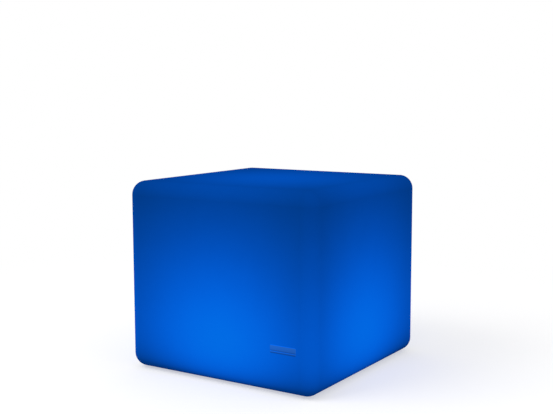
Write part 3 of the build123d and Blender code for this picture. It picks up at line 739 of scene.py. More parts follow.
class Sketch:
    """A mesh that is built up from rings of points."""

    def __init__(self) -> None:
        """Starts an empty mesh."""
        self.mesh = bmesh.new()

    def loft(self, rings: list[Ring]) -> None:
        """Skins a closed body through rings of equally many points, with a flat face over each open end.

        Args:
            rings: the rings in order. A ring of one point is a tip.
        """
        rows = [[self.mesh.verts.new(point) for point in ring] for ring in rings]
        for lower, upper in zip(rows, rows[1:]):
            self.band(lower, upper)
        for end in (rows[0], rows[-1]):
            if len(end) > 1:
                self.mesh.faces.new(end)

    def band(self, lower: list[bmesh.types.BMVert], upper: list[bmesh.types.BMVert]) -> None:
        """Skins the strip between two rings, either of which may be a tip.

        Args:
            lower: one ring's points.
            upper: the other ring's points.
        """
        count = max(len(lower), len(upper))
        for here in range(count):
            there = (here + 1) % count
            corners = [lower[here % len(lower)], lower[there % len(lower)]]
            corners += [upper[there % len(upper)], upper[here % len(upper)]]
            self.mesh.faces.new(dict.fromkeys(corners))

    def spin(self, profile: list[Flat], steps: int, middle: Flat = (0.0, 0.0)) -> None:
        """Turns a profile round an upright axis.

        Args:
            profile: radius and level of each point. A point at radius 0 is a tip.
            steps: how many points go round.
            middle: where the axis stands.
        """
        rings = []
        for radius, level in profile:
            circle = arc(radius, 0.0, 360.0, steps)[:-1]
            rings.append(lifted(circle if radius > 0.0 else [(0.0, 0.0)], level, middle))
        self.loft(rings)

    def pad(self, low: Point, high: Point, edge: float, steps: int = 3) -> None:
        """Adds an upright block with the same round on all its edges.

        Args:
            low: its lowest corner.
            high: its highest corner.
            edge: the radius of the round.
            steps: how many chords each round has.
        """
        half = [(b - a) / 2.0 - edge for a, b in zip(low, high)]
        middle = [(a + b) / 2.0 for a, b in zip(low, high)]
        foot = [(out, rise - half[2]) for out, rise in arc(edge, -90.0, 0.0, steps)]
        top = [(out, rise + half[2]) for out, rise in arc(edge, 0.0, 90.0, steps)]
        rings = []
        for out, rise in foot + top:
            outline = rounded((half[0] + out, half[1] + out), out, steps)
            rings.append(lifted(outline, middle[2] + rise, (middle[0], middle[1])))
        self.loft(rings)

    def finished(self, name: str) -> Piece:
        """Cleans the mesh and makes an object of it.

        Args:
            name: the object's name.

        Returns:
            The new object.
        """
        bmesh.ops.remove_doubles(self.mesh, verts=self.mesh.verts, dist=SAME_PLACE)
        bmesh.ops.dissolve_degenerate(self.mesh, edges=self.mesh.edges, dist=SAME_PLACE)
        bmesh.ops.recalc_face_normals(self.mesh, faces=self.mesh.faces)
        made = bpy.data.meshes.new(name)
        self.mesh.to_mesh(made)
        self.mesh.free()
        return placed(name, made)


def carve(piece: Piece, tool: Piece, operation: str) -> None:
    """Cuts or joins a piece with another, which is used up.

    Args:
        piece: the piece that is changed.
        tool: the cutting or added shape.
        operation: DIFFERENCE or UNION.
    """
    change = piece.modifiers.new("carve", "BOOLEAN")
    change.operation = operation
    change.solver = "EXACT"
    change.object = tool
    settled = piece.evaluated_get(bpy.context.evaluated_depsgraph_get())
    whole = bpy.data.meshes.new_from_object(settled)
    piece.modifiers.clear()
    piece.data = whole
    bpy.data.objects.remove(tool)


def settle(piece: Piece, body: Body | None, slot: str, skin: Material, *nodes: str) -> Piece:
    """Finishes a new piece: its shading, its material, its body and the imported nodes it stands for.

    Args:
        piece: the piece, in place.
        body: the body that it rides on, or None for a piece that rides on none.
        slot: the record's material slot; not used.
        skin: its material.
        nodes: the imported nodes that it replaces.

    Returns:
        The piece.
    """
    piece.data.shade_smooth()
    piece.data.set_sharp_from_angle(angle=SHARP_ANGLE)
    flats = piece.modifiers.new("flats", "WEIGHTED_NORMAL")
    flats.keep_sharp = True
    piece.data.materials.clear()
    piece.data.materials.append(skin)
    if body:
        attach(piece, body.value)
    if nodes:
        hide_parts(*nodes)
    return piece


# --- Sub-assemblies --------------------------------------------------------------------------------


@dataclass
class MouldedShell:
    """The hollow moulding, with one wall all round, the well in its underside and the mouth of the ledge."""

    edge_radius: float = 26.0 * MILLIMETRE
    wall: float = 4.0 * MILLIMETRE
    well_edge_radius: float = 5.0 * MILLIMETRE
    well_draft: float = 4.0 * MILLIMETRE
    gasket_gap: float = 1.0 * MILLIMETRE
    mouth_gap: float = 6.0 * MILLIMETRE
    boss_wall: float = 3.5 * MILLIMETRE
    pocket_gap: float = 0.05 * MILLIMETRE
    socket_gap: float = 0.4 * MILLIMETRE
    flat_round: float = 0.4  # corner radius of the rings over the top, as a share of their half width
    corner_steps: int = 8
    side_steps: int = 22
    round_steps: int = 9
    wall_steps: int = 14
    flat_steps: int = 5
    well_edge_steps: int = 6
    boss_sides: int = 32
    pocket_sides: int = 6
    socket_sides: int = 64
    finish: GlowingSkin = GlowingSkin()

    def __post_init__(self) -> None:
        """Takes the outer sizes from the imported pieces."""
        low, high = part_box("cube_shell")
        self.half, self.bottom, self.top = high.x, low.z, high.z
        self.straight = self.half - self.edge_radius
        self.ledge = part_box("threaded_inserts")[0].z
        self.ledge_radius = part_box("base_gasket")[1].x + self.gasket_gap
        self.mouth_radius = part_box("led_deck")[1].x + self.mouth_gap
        self.well_radius = self.ledge_radius + self.well_draft

    def square(self, half: float, corner: float, level: float) -> Ring:
        """A level square ring with rounded corners."""
        return lifted(rounded((half, half), corner, self.corner_steps, self.side_steps), level)

    def circle(self, radius: float, level: float) -> Ring:
        """A level circle whose points face those of the cube's own outline."""
        turns = [atan2(y, x) for x, y, _ in self.square(self.half, self.edge_radius, level)]
        return [(radius * cos(turn), radius * sin(turn), level) for turn in turns]

    def flat_rings(self, level: float) -> list[Ring]:
        """Rings over a flat face.

        Args:
            level: the face's height.

        Returns:
            The rings, from near its middle out to the start of the edge round.
        """
        first = self.straight / self.flat_steps
        widths = [first + (self.straight - first) * n / self.flat_steps for n in range(self.flat_steps)]
        rings = [self.square(width, self.flat_round * width, level) for width in widths]
        return [*rings, self.square(self.straight, 0.0, level)]

    def underside_rings(self, level: float, hole: float) -> list[Ring]:
        """Rings over the underside, from a round hole to the square start of the edge round.

        Args:
            level: the face's height.
            hole: radius of the hole.

        Returns:
            The rings, from the hole out.
        """
        pairs = list(zip(self.circle(hole, level), self.square(self.straight, 0.0, level)))
        shares = [n / self.flat_steps for n in range(self.flat_steps + 1)]
        return [[tuple(Vector(a).lerp(Vector(b), share)) for a, b in pairs] for share in shares]

    def box_rings(self, inset: float) -> list[Ring]:
        """Rings down one skin of the wall, from the edge of its top face to the edge of its underside.

        Args:
            inset: how far the skin lies inside the outer one.

        Returns:
            The rings, from the top down.
        """
        radius = self.edge_radius - inset
        high, low = self.top - self.edge_radius, self.bottom + self.edge_radius
        rows = [(out, high + rise) for out, rise in arc(radius, 90.0, 0.0, self.round_steps)[1:]]
        rows += [(radius, high + (low - high) * n / self.wall_steps) for n in range(1, self.wall_steps)]
        rows += [(out, low + rise) for out, rise in arc(radius, 0.0, -90.0, self.round_steps)[:-1]]
        return [self.square(self.straight + out, out, level) for out, level in rows]

    def well_profile(self) -> list[Flat]:
        """The well in section.

        Returns:
            Radius and level of its rounded edge, its drafted side, its ledge and its mouth, up to the inside.
        """
        slope = Vector((-self.well_draft, self.ledge - self.bottom)).normalized()
        outward = Vector((slope.y, -slope.x))
        radius = self.well_edge_radius
        middle = (self.well_radius + (radius - radius * outward.y) / outward.x, self.bottom + radius)
        tilt = degrees(atan2(outward.y, outward.x))
        draft = self.well_draft / (self.ledge - self.bottom)
        ledge_top = self.ledge + self.wall
        back = self.well_radius + self.wall
        return [
            *arc(radius, 270.0, 180.0 + tilt, self.well_edge_steps, middle),
            (self.ledge_radius, self.ledge),
            ((self.ledge_radius + self.mouth_radius) / 2.0, self.ledge),
            (self.mouth_radius, self.ledge),
            (self.mouth_radius, ledge_top),
            (back - draft * (ledge_top - self.bottom), ledge_top),
            (back - draft * self.wall, self.bottom + self.wall),
        ]

    def skin_rings(self) -> list[Ring]:
        """Every ring of the moulding.

        Returns:
            The rings, from the middle of the top, down, in through the mouth and up again.
        """
        inner_top = self.top - self.wall
        well = self.well_profile()
        rings: list[Ring] = [[(0.0, 0.0, self.top)]]
        rings += self.flat_rings(self.top)
        rings += self.box_rings(0.0)
        rings += reversed(self.underside_rings(self.bottom, well[0][0]))
        rings += [self.circle(radius, level) for radius, level in well[1:-1]]
        rings += self.underside_rings(self.bottom + self.wall, well[-1][0])
        rings += reversed(self.box_rings(self.wall))
        rings += reversed(self.flat_rings(inner_top))
        return [*rings, [(0.0, 0.0, inner_top)]]

    def build(self) -> list[Piece]:
        """Builds the moulding, with a boss and a pocket at each insert and a socket at each foot.

        Returns:
            Its one piece.
        """
        moulding, bosses, pockets = Sketch(), Sketch(), Sketch()
        moulding.loft(self.skin_rings())
        for low, high in solid_boxes("threaded_inserts"):
            middle = middle_of(low, high)
            across = high.y - low.y
            radius = across / 2.0 + self.boss_wall
            top = high.z + self.wall
            foot = low.z + self.wall / 2.0
            bosses.spin([(0.0, top), (radius, top), (radius, foot)], self.boss_sides, middle)
            corner = (across + 2.0 * self.pocket_gap) / sqrt(3.0)
            pockets.spin([(corner, low.z - self.wall / 2.0), (corner, high.z)], self.pocket_sides, middle)
        for low, high in solid_boxes("rubber_feet"):
            radius = (high.x - low.x) / 2.0 + self.socket_gap
            profile = [(radius, self.bottom - self.wall), (radius, high.z)]
            pockets.spin(profile, self.socket_sides, middle_of(low, high))
        shell = moulding.finished("moulded_shell")
        carve(shell, bosses.finished("bosses"), "UNION")
        carve(shell, pockets.finished("pockets"), "DIFFERENCE")
        return [settle(shell, Body.ROOT, "glowing_shell", self.finish.material(), "cube_shell")]


@dataclass
class BarePlate:
    """A low plate near the lower right corner of the front, left bare, with a lip along its foot."""

    across: float = 0.141
    level: float = 0.082
    length: float = 51.0 * MILLIMETRE
    height: float = 14.5 * MILLIMETRE
    corner: float = 1.6 * MILLIMETRE
    sunk: float = 0.5 * MILLIMETRE
    slopes: tuple[Flat, ...] = (  # level and stand of each bend, in millimetres, from the foot up
        (0.0, 0.0),
        (2.1, 0.9),
        (3.3, 0.9),
        (3.9, 0.0),
        (6.7, 1.0),
        (13.7, 1.0),
        (14.5, 0.1),
    )
    end_stand: float = 0.1  # how much of its full stand is left at its very ends
    end_steps: int = 5
    finish: FilmedSkin = FilmedSkin()

    def section(self, place: float, inset: float, share: float) -> Ring:
        """One section across the plate.

        Args:
            place: where it is, along the plate.
            inset: how far the corners draw the foot and the top in here.
            share: how much of its full stand the plate has here.

        Returns:
            Its points, round the section.
        """
        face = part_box("cube_shell")[0].y
        foot = self.level - self.height / 2.0
        drawn = (self.height - 2.0 * inset) / self.height
        bends = []
        for z, stand in self.slopes:
            bends.append((foot + inset + z * MILLIMETRE * drawn, stand * MILLIMETRE * share))
        front = [(place, face - stand, z) for z, stand in bends]
        return [*front, (place, face + self.sunk, bends[-1][0]), (place, face + self.sunk, bends[0][0])]

    def build(self) -> list[Piece]:
        """Builds the plate.

        Returns:
            Its one piece.
        """
        end = []
        for out, up in arc(1.0, 0.0, 90.0, self.end_steps):
            stand = self.end_stand + (1.0 - self.end_stand) * up
            end.append((self.corner * (1.0 - out), self.corner * (1.0 - up), stand))
        half = self.length / 2.0
        rings = [self.section(self.across - half + run, inset, share) for run, inset, share in end]
        rings += [self.section(self.across + half - run, inset, share) for run, inset, share in reversed(end)]
        sketch = Sketch()
        sketch.loft(rings)
        plate = sketch.finished("bare_plate")
        return [settle(plate, Body.ROOT, "glowing_shell", self.finish.material())]


@dataclass
class RubberFeet:
    """Four pads in shallow sockets in the underside."""

    edge_round: float = 1.0 * MILLIMETRE
    groove_radius: float = 9.0 * MILLIMETRE
    groove_half: Flat = (0.6 * MILLIMETRE, 0.36 * MILLIMETRE)  # half of its width, at its mouth and floor
    groove_depth: float = 0.5 * MILLIMETRE
    edge_steps: int = 5
    sides: int = 64
    finish: SoftRubber = SoftRubber("foot_rubber", (0.012, 0.012, 0.013))

    def profile(self, radius: float, top: float) -> list[Flat]:
        """Half of a pad in section.

        Args:
            radius: the pad's radius.
            top: the level of its upper face.

        Returns:
            The section's points, from its upper middle to its lower middle.
        """
        mouth, floor = self.groove_half
        return [
            (0.0, top),
            (radius, top),
            *arc(self.edge_round, 0.0, -90.0, self.edge_steps, (radius - self.edge_round, self.edge_round)),
            (self.groove_radius + mouth, 0.0),
            (self.groove_radius + floor, self.groove_depth),
            (self.groove_radius - floor, self.groove_depth),
            (self.groove_radius - mouth, 0.0),
            (0.0, 0.0),
        ]

    def build(self) -> list[Piece]:
        """Builds the feet.

        Returns:
            One piece that holds all four.
        """
        sketch = Sketch()
        for low, high in solid_boxes("rubber_feet"):
            sketch.spin(self.profile((high.x - low.x) / 2.0, high.z), self.sides, middle_of(low, high))
        feet = sketch.finished("foot_pads")
        return [settle(feet, Body.ROOT, "black_rubber", self.finish.material(), "rubber_feet")]


@dataclass(frozen=True)
class ScrewKind:
    """The pan-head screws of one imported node: an M2.5 screw, if nothing else is said."""

    node: str
    head_height: float = 1.6 * MILLIMETRE
    thread_radius: float = 1.25 * MILLIMETRE
    pitch: float = 0.45 * MILLIMETRE
    upward: bool = False  # whether their tips point up
    dome_share: float = 0.62  # of the head's height, above its rim
    dome_steps: int = 6
    arm_reach: float = 0.55  # half of the cross recess's span, as a share of the head's radius
    arm_width: float = 0.15  # half of the width of its arms, likewise
    recess: tuple[Flat, ...] = ((1.0, -0.2), (1.0, 0.15), (0.6, 0.62))  # width, and depth in head heights
    turn_between: float = 0.65  # how much further each next screw was turned
    sides: int = 28

    def profile(self, head_radius: float, length: float) -> list[Flat]:
        """Half of a screw in section.

        Args:
            head_radius: radius of the head.
            length: from the top of the head to the tip.

        Returns:
            Radius and depth below the top of the head of each point.
        """
        dome_height = self.dome_share * self.head_height
        quarter = arc(1.0, 0.0, 90.0, self.dome_steps)
        dome = [(head_radius * out, dome_height * (1.0 - up)) for up, out in quarter]
        root = self.thread_radius - 0.5 * self.pitch
        first = self.head_height + 0.5 * self.pitch
        points = [*dome, (head_radius, self.head_height), (self.thread_radius, self.head_height)]
        for n in range(int((length - first) / self.pitch - 0.5)):
            depth = first + n * self.pitch
            points += [(self.thread_radius, depth), (root, depth + 0.5 * self.pitch)]
        return [*points, (self.thread_radius, length - 0.5 * self.pitch), (root, length), (0.0, length)]

    def cross(self, reach: float, width: float, turn: float) -> list[Flat]:
        """The outline of a cross recess.

        Args:
            reach: half of its span.
            width: half of the width of an arm.
            turn: how far the screw was turned.

        Returns:
            Its points about the screw's axis.
        """
        points: list[Flat] = []
        for quarter in range(4):
            angle = turn + quarter * pi / 2.0
            for x, y in ((reach, -width), (reach, width), (width, width)):
                points.append((x * cos(angle) - y * sin(angle), x * sin(angle) + y * cos(angle)))
        return points

    def build(self, skin: Material) -> Piece:
        """Builds the screws.

        Args:
            skin: their material.

        Returns:
            One piece that holds all of them.
        """
        screws, recesses = Sketch(), Sketch()
        way = 1.0 if self.upward else -1.0
        for number, (low, high) in enumerate(solid_boxes(self.node)):
            middle = middle_of(low, high)
            top = low.z if self.upward else high.z
            radius = (high.x - low.x) / 2.0
            profile = self.profile(radius, high.z - low.z)
            screws.spin([(out, top + way * depth) for out, depth in profile], self.sides, middle)
            rings = []
            for share, depth in self.recess:
                reach, width = self.arm_reach * radius * share, self.arm_width * radius * share
                outline = self.cross(reach, width, self.turn_between * number)
                rings.append(lifted(outline, top + way * depth * self.head_height, middle))
            recesses.loft(rings)
        piece = screws.finished(f"{self.node}_turned")
        carve(piece, recesses.finished("recesses"), "DIFFERENCE")
        return settle(piece, Body.ROOT, "stainless_steel", skin, self.node)


@dataclass
class Screws:
    """Every screw, with its domed head, cross recess and thread."""

    kinds: tuple[ScrewKind, ...] = (
        ScrewKind("base_screws", 2.4 * MILLIMETRE, 2.0 * MILLIMETRE, 0.7 * MILLIMETRE, upward=True),
        ScrewKind("dome_screws"),
        ScrewKind("board_screws"),
        ScrewKind("clamp_screws"),
        ScrewKind("led_board_screws"),
    )
    finish: BareMetal = BareMetal("stainless_steel", (0.62, 0.62, 0.63), 0.22)

    def build(self) -> list[Piece]:
        """Builds each kind."""
        skin = self.finish.material()
        return [kind.build(skin) for kind in self.kinds]


@dataclass
class ButtonSpring:
    """The round-wire coil that lifts the power button, with a closed turn at each end."""

    wire_radius: float = 0.4 * MILLIMETRE
    free_turns: float = 3.5
    closed_turns: float = 0.9  # at each end
    closed_pitch: float = 0.88 * MILLIMETRE
    travel: float = 1.0 * MILLIMETRE
    wire_sides: int = 12
    turn_steps: int = 40
    finish: BareMetal = BareMetal("spring_steel", (0.52, 0.52, 0.53), 0.22, Grain.CAST)

    def build(self) -> list[Piece]:
        """Builds the spring.

        Returns:
            Its one piece.
        """
        low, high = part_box("button_spring")
        middle = sum(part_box("power_button"), Vector()) / 2.0
        coil = (high.x - low.x) / 2.0 - self.wire_radius
        start, end = low.z + self.wire_radius, high.z - self.wire_radius
        pitch = (end - start - 2.0 * self.closed_turns * self.closed_pitch) / self.free_turns
        wire = arc(self.wire_radius, 0.0, 360.0, self.wire_sides)[:-1]
        rings = []
        for step in range(round((self.free_turns + 2.0 * self.closed_turns) * self.turn_steps) + 1):
            turns = step / self.turn_steps
            free = min(max(turns - self.closed_turns, 0.0), self.free_turns)
            level = start + free * pitch + (turns - free) * self.closed_pitch
            x, y = cos(2.0 * pi * turns), sin(2.0 * pi * turns)
            spots = [(coil + out, level + up) for out, up in wire]
            rings.append([(middle.x + x * reach, middle.y + y * reach, height) for reach, height in spots])
        sketch = Sketch()
        sketch.loft(rings)
        spring = sketch.finished("coil_spring")
        settle(spring, Body.ROOT, "spring_steel", self.finish.material(), "button_spring")
        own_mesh(spring)
        return [spring]


@dataclass
class PortCap:
    """The soft cap of the charging socket, and the pegged strap that it swings on."""

    lip_drop: float = 1.0 * MILLIMETRE
    lip_length: float = 3.5 * MILLIMETRE
    lip_width: float = 7.0 * MILLIMETRE
    plug_radius: float = 2.75 * MILLIMETRE
    plug_hole_radius: float = 1.65 * MILLIMETRE
    plug_length: float = 2.4 * MILLIMETRE
    bead: float = 0.15 * MILLIMETRE
    bead_shares: tuple[float, float, float] = (0.35, 0.50, 0.65)  # its start, crest and end, along the plug
    dish_radius: float = 5.6 * MILLIMETRE
    dish_depth: float = 0.35 * MILLIMETRE
    edge_round: float = 0.6 * MILLIMETRE
    back_round: float = 0.2 * MILLIMETRE
    strap_half: Flat = (3.0 * MILLIMETRE, 0.7 * MILLIMETRE)  # half of its width and of its thickness
    strap_round: float = 0.3 * MILLIMETRE
    strap_lap: float = 1.2 * MILLIMETRE  # how far it runs into the lid
    web_half: Flat = (2.7 * MILLIMETRE, 0.42 * MILLIMETRE)  # as strap_half, where it bends
    web_reach: float = 1.3 * MILLIMETRE  # from the bend to each end of the thin stretch
    web_steps: int = 8
    peg_radius: float = 1.6 * MILLIMETRE
    barb_radius: float = 2.4 * MILLIMETRE
    barb_height: float = 1.6 * MILLIMETRE
    barb_rim: float = 0.25  # of the barb's height, before it tapers
    edge_steps: int = 5
    back_steps: int = 2
    strap_steps: int = 3
    lid_sides: int = 80
    peg_sides: int = 32
    finish: SoftRubber = SoftRubber("grey_silicone_cap", (0.17, 0.18, 0.19), 0.52)

    def __post_init__(self) -> None:
        """Takes the cap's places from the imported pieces."""
        self.low, self.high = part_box("port_cap")
        self.anchor_low, self.anchor_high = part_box("cap_anchor")
        self.port = sum(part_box("charge_socket"), Vector()) / 2.0
        self.radius = (self.high.y - self.low.y) / 2.0
        level = self.anchor_low.z + self.strap_half[1]
        self.bend = Vector((self.high.x - self.strap_half[1], self.port.y, level))

    def lid(self) -> Piece:
        """The round lid.

        Returns:
            Its piece, with the hollow plug and the finger lip.
        """
        under = self.low.z + self.lip_drop
        top = self.high.z - self.plug_length
        edge, back, plug = self.edge_round, self.back_round, self.plug_radius
        start, crest, end = (top + share * self.plug_length for share in self.bead_shares)
        profile = [
            (0.0, under + self.dish_depth),
            (self.dish_radius, under + self.dish_depth),
            (self.dish_radius + self.dish_depth, under),
            *arc(edge, -90.0, 0.0, self.edge_steps, (self.radius - edge, under + edge)),
            *arc(back, 0.0, 90.0, self.back_steps, (self.radius - back, top - back)),
            (plug, top),
            (plug, start),
            (plug + self.bead, crest),
            (plug, end),
            (plug - self.bead, self.high.z),
            (self.plug_hole_radius, self.high.z),
            (self.plug_hole_radius, top),
            (0.0, top),
        ]
        disc, lip = Sketch(), Sketch()
        disc.spin(profile, self.lid_sides, (self.port.x, self.port.y))
        left, right = (self.port.y + way * self.lip_width / 2.0 for way in (-1.0, 1.0))
        lip.pad((self.low.x, left, self.low.z), (self.low.x + self.lip_length, right, top), edge)
        lid = disc.finished("port_lid")
        carve(lid, lip.finished("lip"), "UNION")
        return settle(lid, Body.CAP, "grey_silicone", self.finish.material(), "port_cap")

    def strap(self) -> Piece:
        """The strap from the lid to its peg.

        Returns:
            Its piece, thin where it bends.
        """
        end, edge = self.anchor_high.x, self.strap_round
        shares = [2.0 * n / self.web_steps - 1.0 for n in range(self.web_steps + 1)]
        thin = [self.bend.x + self.web_reach * share for share in shares]
        stations = [(self.port.x + self.radius - self.strap_lap, self.strap_half)]
        stations.append((thin[0] - 2.0 * edge, self.strap_half))
        stations += [(x, self.web_half) for x in thin]
        stations += [(thin[-1] + 2.0 * edge, self.strap_half), (end - edge, self.strap_half)]
        stations.append((end, (self.strap_half[0] - edge, self.strap_half[1] - edge)))
        band, peg = Sketch(), Sketch()
        rings = []
        for x, half in stations:
            outline = rounded(half, edge, self.strap_steps)
            rings.append([(x, self.bend.y + across, self.bend.z + rise) for across, rise in outline])
        band.loft(rings)
        tip = self.anchor_high.z
        barb = tip - self.barb_height
        profile = [
            (0.0, self.bend.z),
            (self.peg_radius, self.bend.z),
            (self.peg_radius, barb),
            (self.barb_radius, barb),
            (self.barb_radius, barb + self.barb_rim * self.barb_height),
            (self.peg_radius, tip),
            (0.0, tip),
        ]
        peg.spin(profile, self.peg_sides, ((self.bend.x + end) / 2.0, self.bend.y))
        strap = band.finished("port_strap")
        carve(strap, peg.finished("peg"), "UNION")
        settle(strap, None, "grey_silicone", self.finish.material(), "cap_anchor")
        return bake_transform(strap)

    def build(self) -> list[Piece]:
        """Builds the cap and its strap."""
        return [self.lid(), self.strap()]


@dataclass
class Lamps:
    """The colour-changing lamps: white packages, each with a round well that holds a lit filling."""

    corner: float = 0.4 * MILLIMETRE
    bevel: float = 0.15 * MILLIMETRE
    rim_share: float = 0.82  # the well's mouth, as a share of the package's side
    floor_share: float = 0.66  # the well's floor, likewise
    well_depth: float = 0.55 * MILLIMETRE
    filling_room: float = 0.02 * MILLIMETRE  # between the filling and the well
    filling_drop: float = 0.12 * MILLIMETRE  # from the package's face down to the filling's
    steps: int = 5
    package: MouldedPlastic = MouldedPlastic("lamp_package", (0.84, 0.84, 0.82), 0.30)
    filling: LampFace = LampFace("lamp_filling")

    def package_rings(self, low: Vector, high: Vector) -> list[Ring]:
        """Rings up the outside of a package, over its face and down its well.

        Args:
            low: the lamp's lowest corner.
            high: its highest corner.

        Returns:
            The rings, in that order.
        """
        half = (high.x - low.x) / 2.0
        rim, floor = half * self.rim_share, half * self.floor_share
        outlines = [
            (half, self.corner, low.z),
            (half, self.corner, high.z - self.bevel),
            (half - self.bevel, self.corner - self.bevel, high.z),
            (rim, rim, high.z),
            (floor, floor, high.z - self.well_depth),
        ]
        rings = []
        for reach, corner, level in outlines:
            outline = rounded((reach, reach), corner, self.steps)
            rings.append(lifted(outline, level, middle_of(low, high)))
        return rings

    def filling_profile(self, low: Vector, high: Vector) -> list[Flat]:
        """Half of the filling in section.

        Args:
            low: the lamp's lowest corner.
            high: its highest corner.

        Returns:
            The section's points, from its upper middle to its lower middle.
        """
        half = (high.x - low.x) / 2.0
        rim, floor = half * self.rim_share, half * self.floor_share
        narrowing = (rim - floor) / self.well_depth
        top = self.well_depth - self.filling_drop
        levels = (top, self.filling_room)
        radii = [floor + narrowing * level - self.filling_room for level in levels]
        base = high.z - self.well_depth
        points = [(radius, base + level) for radius, level in zip(radii, levels)]
        return [(0.0, base + levels[0]), *points, (0.0, base + levels[1])]

    def build(self) -> list[Piece]:
        """Builds the lamps.

        Returns:
            The packages and the fillings, each as one piece.
        """
        packages, fillings = Sketch(), Sketch()
        for low, high in solid_boxes("led_chips"):
            packages.loft(self.package_rings(low, high))
            fillings.spin(self.filling_profile(low, high), 4 * self.steps, middle_of(low, high))
        package, filling = self.package.material(), self.filling.material()
        return [
            settle(packages.finished("lamp_packages"), Body.ROOT, "lamp_white", package, "led_chips"),
            settle(fillings.finished("lamp_fillings"), Body.ROOT, "lamp_white", filling),
        ]


@dataclass
class PackedPieces:
    """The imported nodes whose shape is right, each in the finish that is named for its slot."""

    finishes: tuple[Finish, ...] = (
        BareMetal("brass", (0.78, 0.56, 0.24), 0.24),
        BareMetal("nickel", (0.70, 0.68, 0.64), 0.14),
        BareMetal("deck_aluminium", (0.72, 0.73, 0.74), 0.26, Grain.ROLLED),
        SoftRubber("grey_silicone", (0.20, 0.21, 0.22), 0.56),
        SoftRubber("black_rubber", (0.020, 0.020, 0.021)),
        SoftRubber("grey_button", (0.30, 0.31, 0.32), 0.48),
        SoftRubber("lead_black", (0.015, 0.015, 0.016), 0.40),
        MouldedPlastic("white_abs", (0.76, 0.77, 0.77)),
        MouldedPlastic("switch_black", (0.025, 0.025, 0.027), 0.32),
        MouldedPlastic("connector_white", (0.70, 0.68, 0.62), 0.30),
        CircuitBoard("green_board", (0.010, 0.120, 0.045), (0.030, 0.230, 0.085)),
        CircuitBoard("white_board", (0.80, 0.81, 0.80), (0.72, 0.73, 0.72)),
        ClearPlastic("clear_acrylic"),
        LampFace("lamp_white"),
        ShrinkWrap("cell_wrap"),
        FrostedDome("frosted_dome"),
    )

    def build(self) -> list[Piece]:
        """Dresses every node that still shows.

        Returns:
            The dressed nodes.
        """
        skins = {finish.name: finish.material() for finish in self.finishes}
        slots = {row["node"]: row["material_slot"] for row in frame["record"]["subparts"]}
        shown = [(name, piece) for name, piece in sorted(frame["nodes"].items()) if not piece.hide_render]
        for name, piece in shown:
            for place in piece.material_slots:
                place.material = skins[slots[name]]
        return [piece for _, piece in shown]


# --- Studio ----------------------------------------------------------------------------------------


@dataclass(frozen=True)
class SoftLamp:
    """A soft square lamp that hangs in the studio."""

    name: str
    place: Point
    size: float
    power: float  # watts

    def hang(self, aim: Vector) -> None:
        """Hangs the lamp up.

        Args:
            aim: the point that it faces.
        """
        data = bpy.data.lights.new(self.name, "AREA")
        data.size = self.size
        data.energy = self.power
        lamp = placed(self.name, data)
        lamp.location = self.place
        lamp.rotation_euler = (aim - Vector(self.place)).to_track_quat("-Z", "Y").to_euler()
        lamp.visible_camera = False


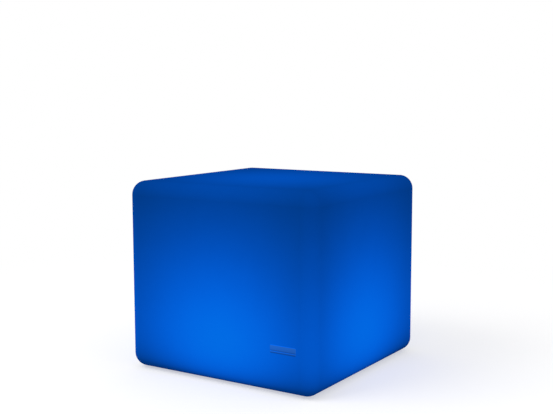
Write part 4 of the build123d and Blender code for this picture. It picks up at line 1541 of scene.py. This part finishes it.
@dataclass
class Studio:
    """A plain pale floor, a white surround, soft lamps and the camera."""

    camera_place: Point = (0.97841, -1.51794, 0.51383)
    camera_turn: Point = (83.1051, 0.1394, 32.7801)  # degrees
    lens: float = 62.055  # millimetres, on a sensor 36 mm wide
    sensor: float = 36.0
    nearest: float = 0.05
    furthest: float = 60.0
    surround_light: float = 0.62
    floor_size: float = 12.0
    floor_colour: Colour = (0.60, 0.60, 0.60)
    floor_specks: Pattern = Pattern(60.0, 3.0)
    floor_tone: float = 0.99  # the colour of a speck, as a share of the full one
    floor_roughness: float = 0.9
    floor_lift: float = 0.52  # added to what the floor shows, so that it is white where no shadow falls
    fade_start: float = 0.45
    fade_end: float = 1.30
    opening_share: float = 0.85  # of the cube's half width, left open in the floor below it
    high_lamps: tuple[SoftLamp, ...] = (
        SoftLamp("key_lamp", (-1.7, -2.2, 2.9), 2.4, 58.0),
        SoftLamp("fill_lamp", (2.6, 0.4, 2.2), 2.0, 9.0),
    )
    under_lamp: SoftLamp = SoftLamp("under_lamp", (-0.34, -0.30, -0.40), 0.22, 1.0)

    def surround(self) -> None:
        """Makes the world: white where it is seen, and a softer light on the object."""
        world = bpy.data.worlds.new("surround")
        world.use_nodes = True
        bpy.context.scene.world = world
        nodes = Nodes(world.node_tree)
        strength = nodes.between(nodes.seen(), self.surround_light, 1.0)
        light = nodes.feed(nodes.node("ShaderNodeBackground"), Color=(1.0, 1.0, 1.0), Strength=strength)
        nodes.feed(nodes.node("ShaderNodeOutputWorld"), Surface=light.outputs["Background"])

    def floor_material(self) -> Material:
        """White boards that fade into the surround, and that can be seen through from below.

        Returns:
            The material.
        """
        sheet = NodeSheet("floor")
        seen = sheet.seen()
        speck = sheet.noise(self.floor_specks)
        sheet.set(Base_Color=sheet.blend(speck, toned(self.floor_colour, self.floor_tone), self.floor_colour))
        sheet.set(Roughness=self.floor_roughness, Specular_IOR_Level=0.0)
        lift = sheet.math("MULTIPLY", seen, self.floor_lift)
        sheet.set(Emission_Color=(1.0, 1.0, 1.0), Emission_Strength=lift)
        away = sheet.vector("LENGTH", sheet.place)
        fade = sheet.node("ShaderNodeMapRange", interpolation_type="SMOOTHSTEP")
        sheet.feed(fade, Value=away, From_Min=self.fade_start, From_Max=self.fade_end)
        white = sheet.node("ShaderNodeEmission")
        sheet.feed(white, Strength=sheet.between(seen, self.surround_light, 1.0))
        board = sheet.mixed(fade.outputs["Result"], sheet.shader.outputs["BSDF"], white.outputs["Emission"])
        clear = sheet.node("ShaderNodeBsdfTransparent").outputs["BSDF"]
        below = sheet.node("ShaderNodeNewGeometry").outputs["Backfacing"]
        sheet.feed(sheet.output, Surface=sheet.mixed(below, board, clear))
        return sheet.made

    def floor(self) -> None:
        """Makes the floor, with an opening below the cube that lets light reach the underside."""
        outer, inner = self.floor_size / 2.0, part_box("cube_shell")[1].x * self.opening_share
        corners = ((-1, -1), (1, -1), (1, 1), (-1, 1))
        points = [(x * reach, y * reach, 0.0) for reach in (outer, inner) for x, y in corners]
        following = (1, 2, 3, 0)
        made = bpy.data.meshes.new("floor")
        made.from_pydata(points, [], [(n, following[n], following[n] + 4, n + 4) for n in range(4)])
        made.materials.append(self.floor_material())
        floor = placed("floor", made)

    def camera(self) -> None:
        """Makes the camera at the photograph's viewing angle."""
        data = bpy.data.cameras.new("camera")
        data.lens = self.lens
        data.sensor_width = self.sensor
        data.clip_start = self.nearest
        data.clip_end = self.furthest
        camera = placed("camera", data)
        camera.location = self.camera_place
        camera.rotation_euler = tuple(radians(turn) for turn in self.camera_turn)
        bpy.context.scene.camera = camera

    def build(self) -> None:
        """Sets the studio up round the object."""
        low, high = cad_box
        self.surround()
        self.floor()
        for lamp in self.high_lamps:
            lamp.hang((low + high) / 2.0)
        self.under_lamp.hang(Vector())
        self.camera()
        bpy.context.scene.view_settings.view_transform = "Standard"


def main() -> None:
    """Builds the sub-assemblies in order and reports each piece."""
    logging.basicConfig(level=logging.INFO, format="%(name)s: %(message)s")
    moulding = (MouldedShell(), BarePlate(), RubberFeet())
    light_unit = (Screws(), ButtonSpring(), PortCap(), Lamps(), PackedPieces())
    for assembly in moulding + light_unit:
        for piece in assembly.build():
            log.info("%s: %s, %d faces", type(assembly).__name__, piece.name, len(piece.data.polygons))
    Studio().build()


if __name__ == "__main__":
    main()
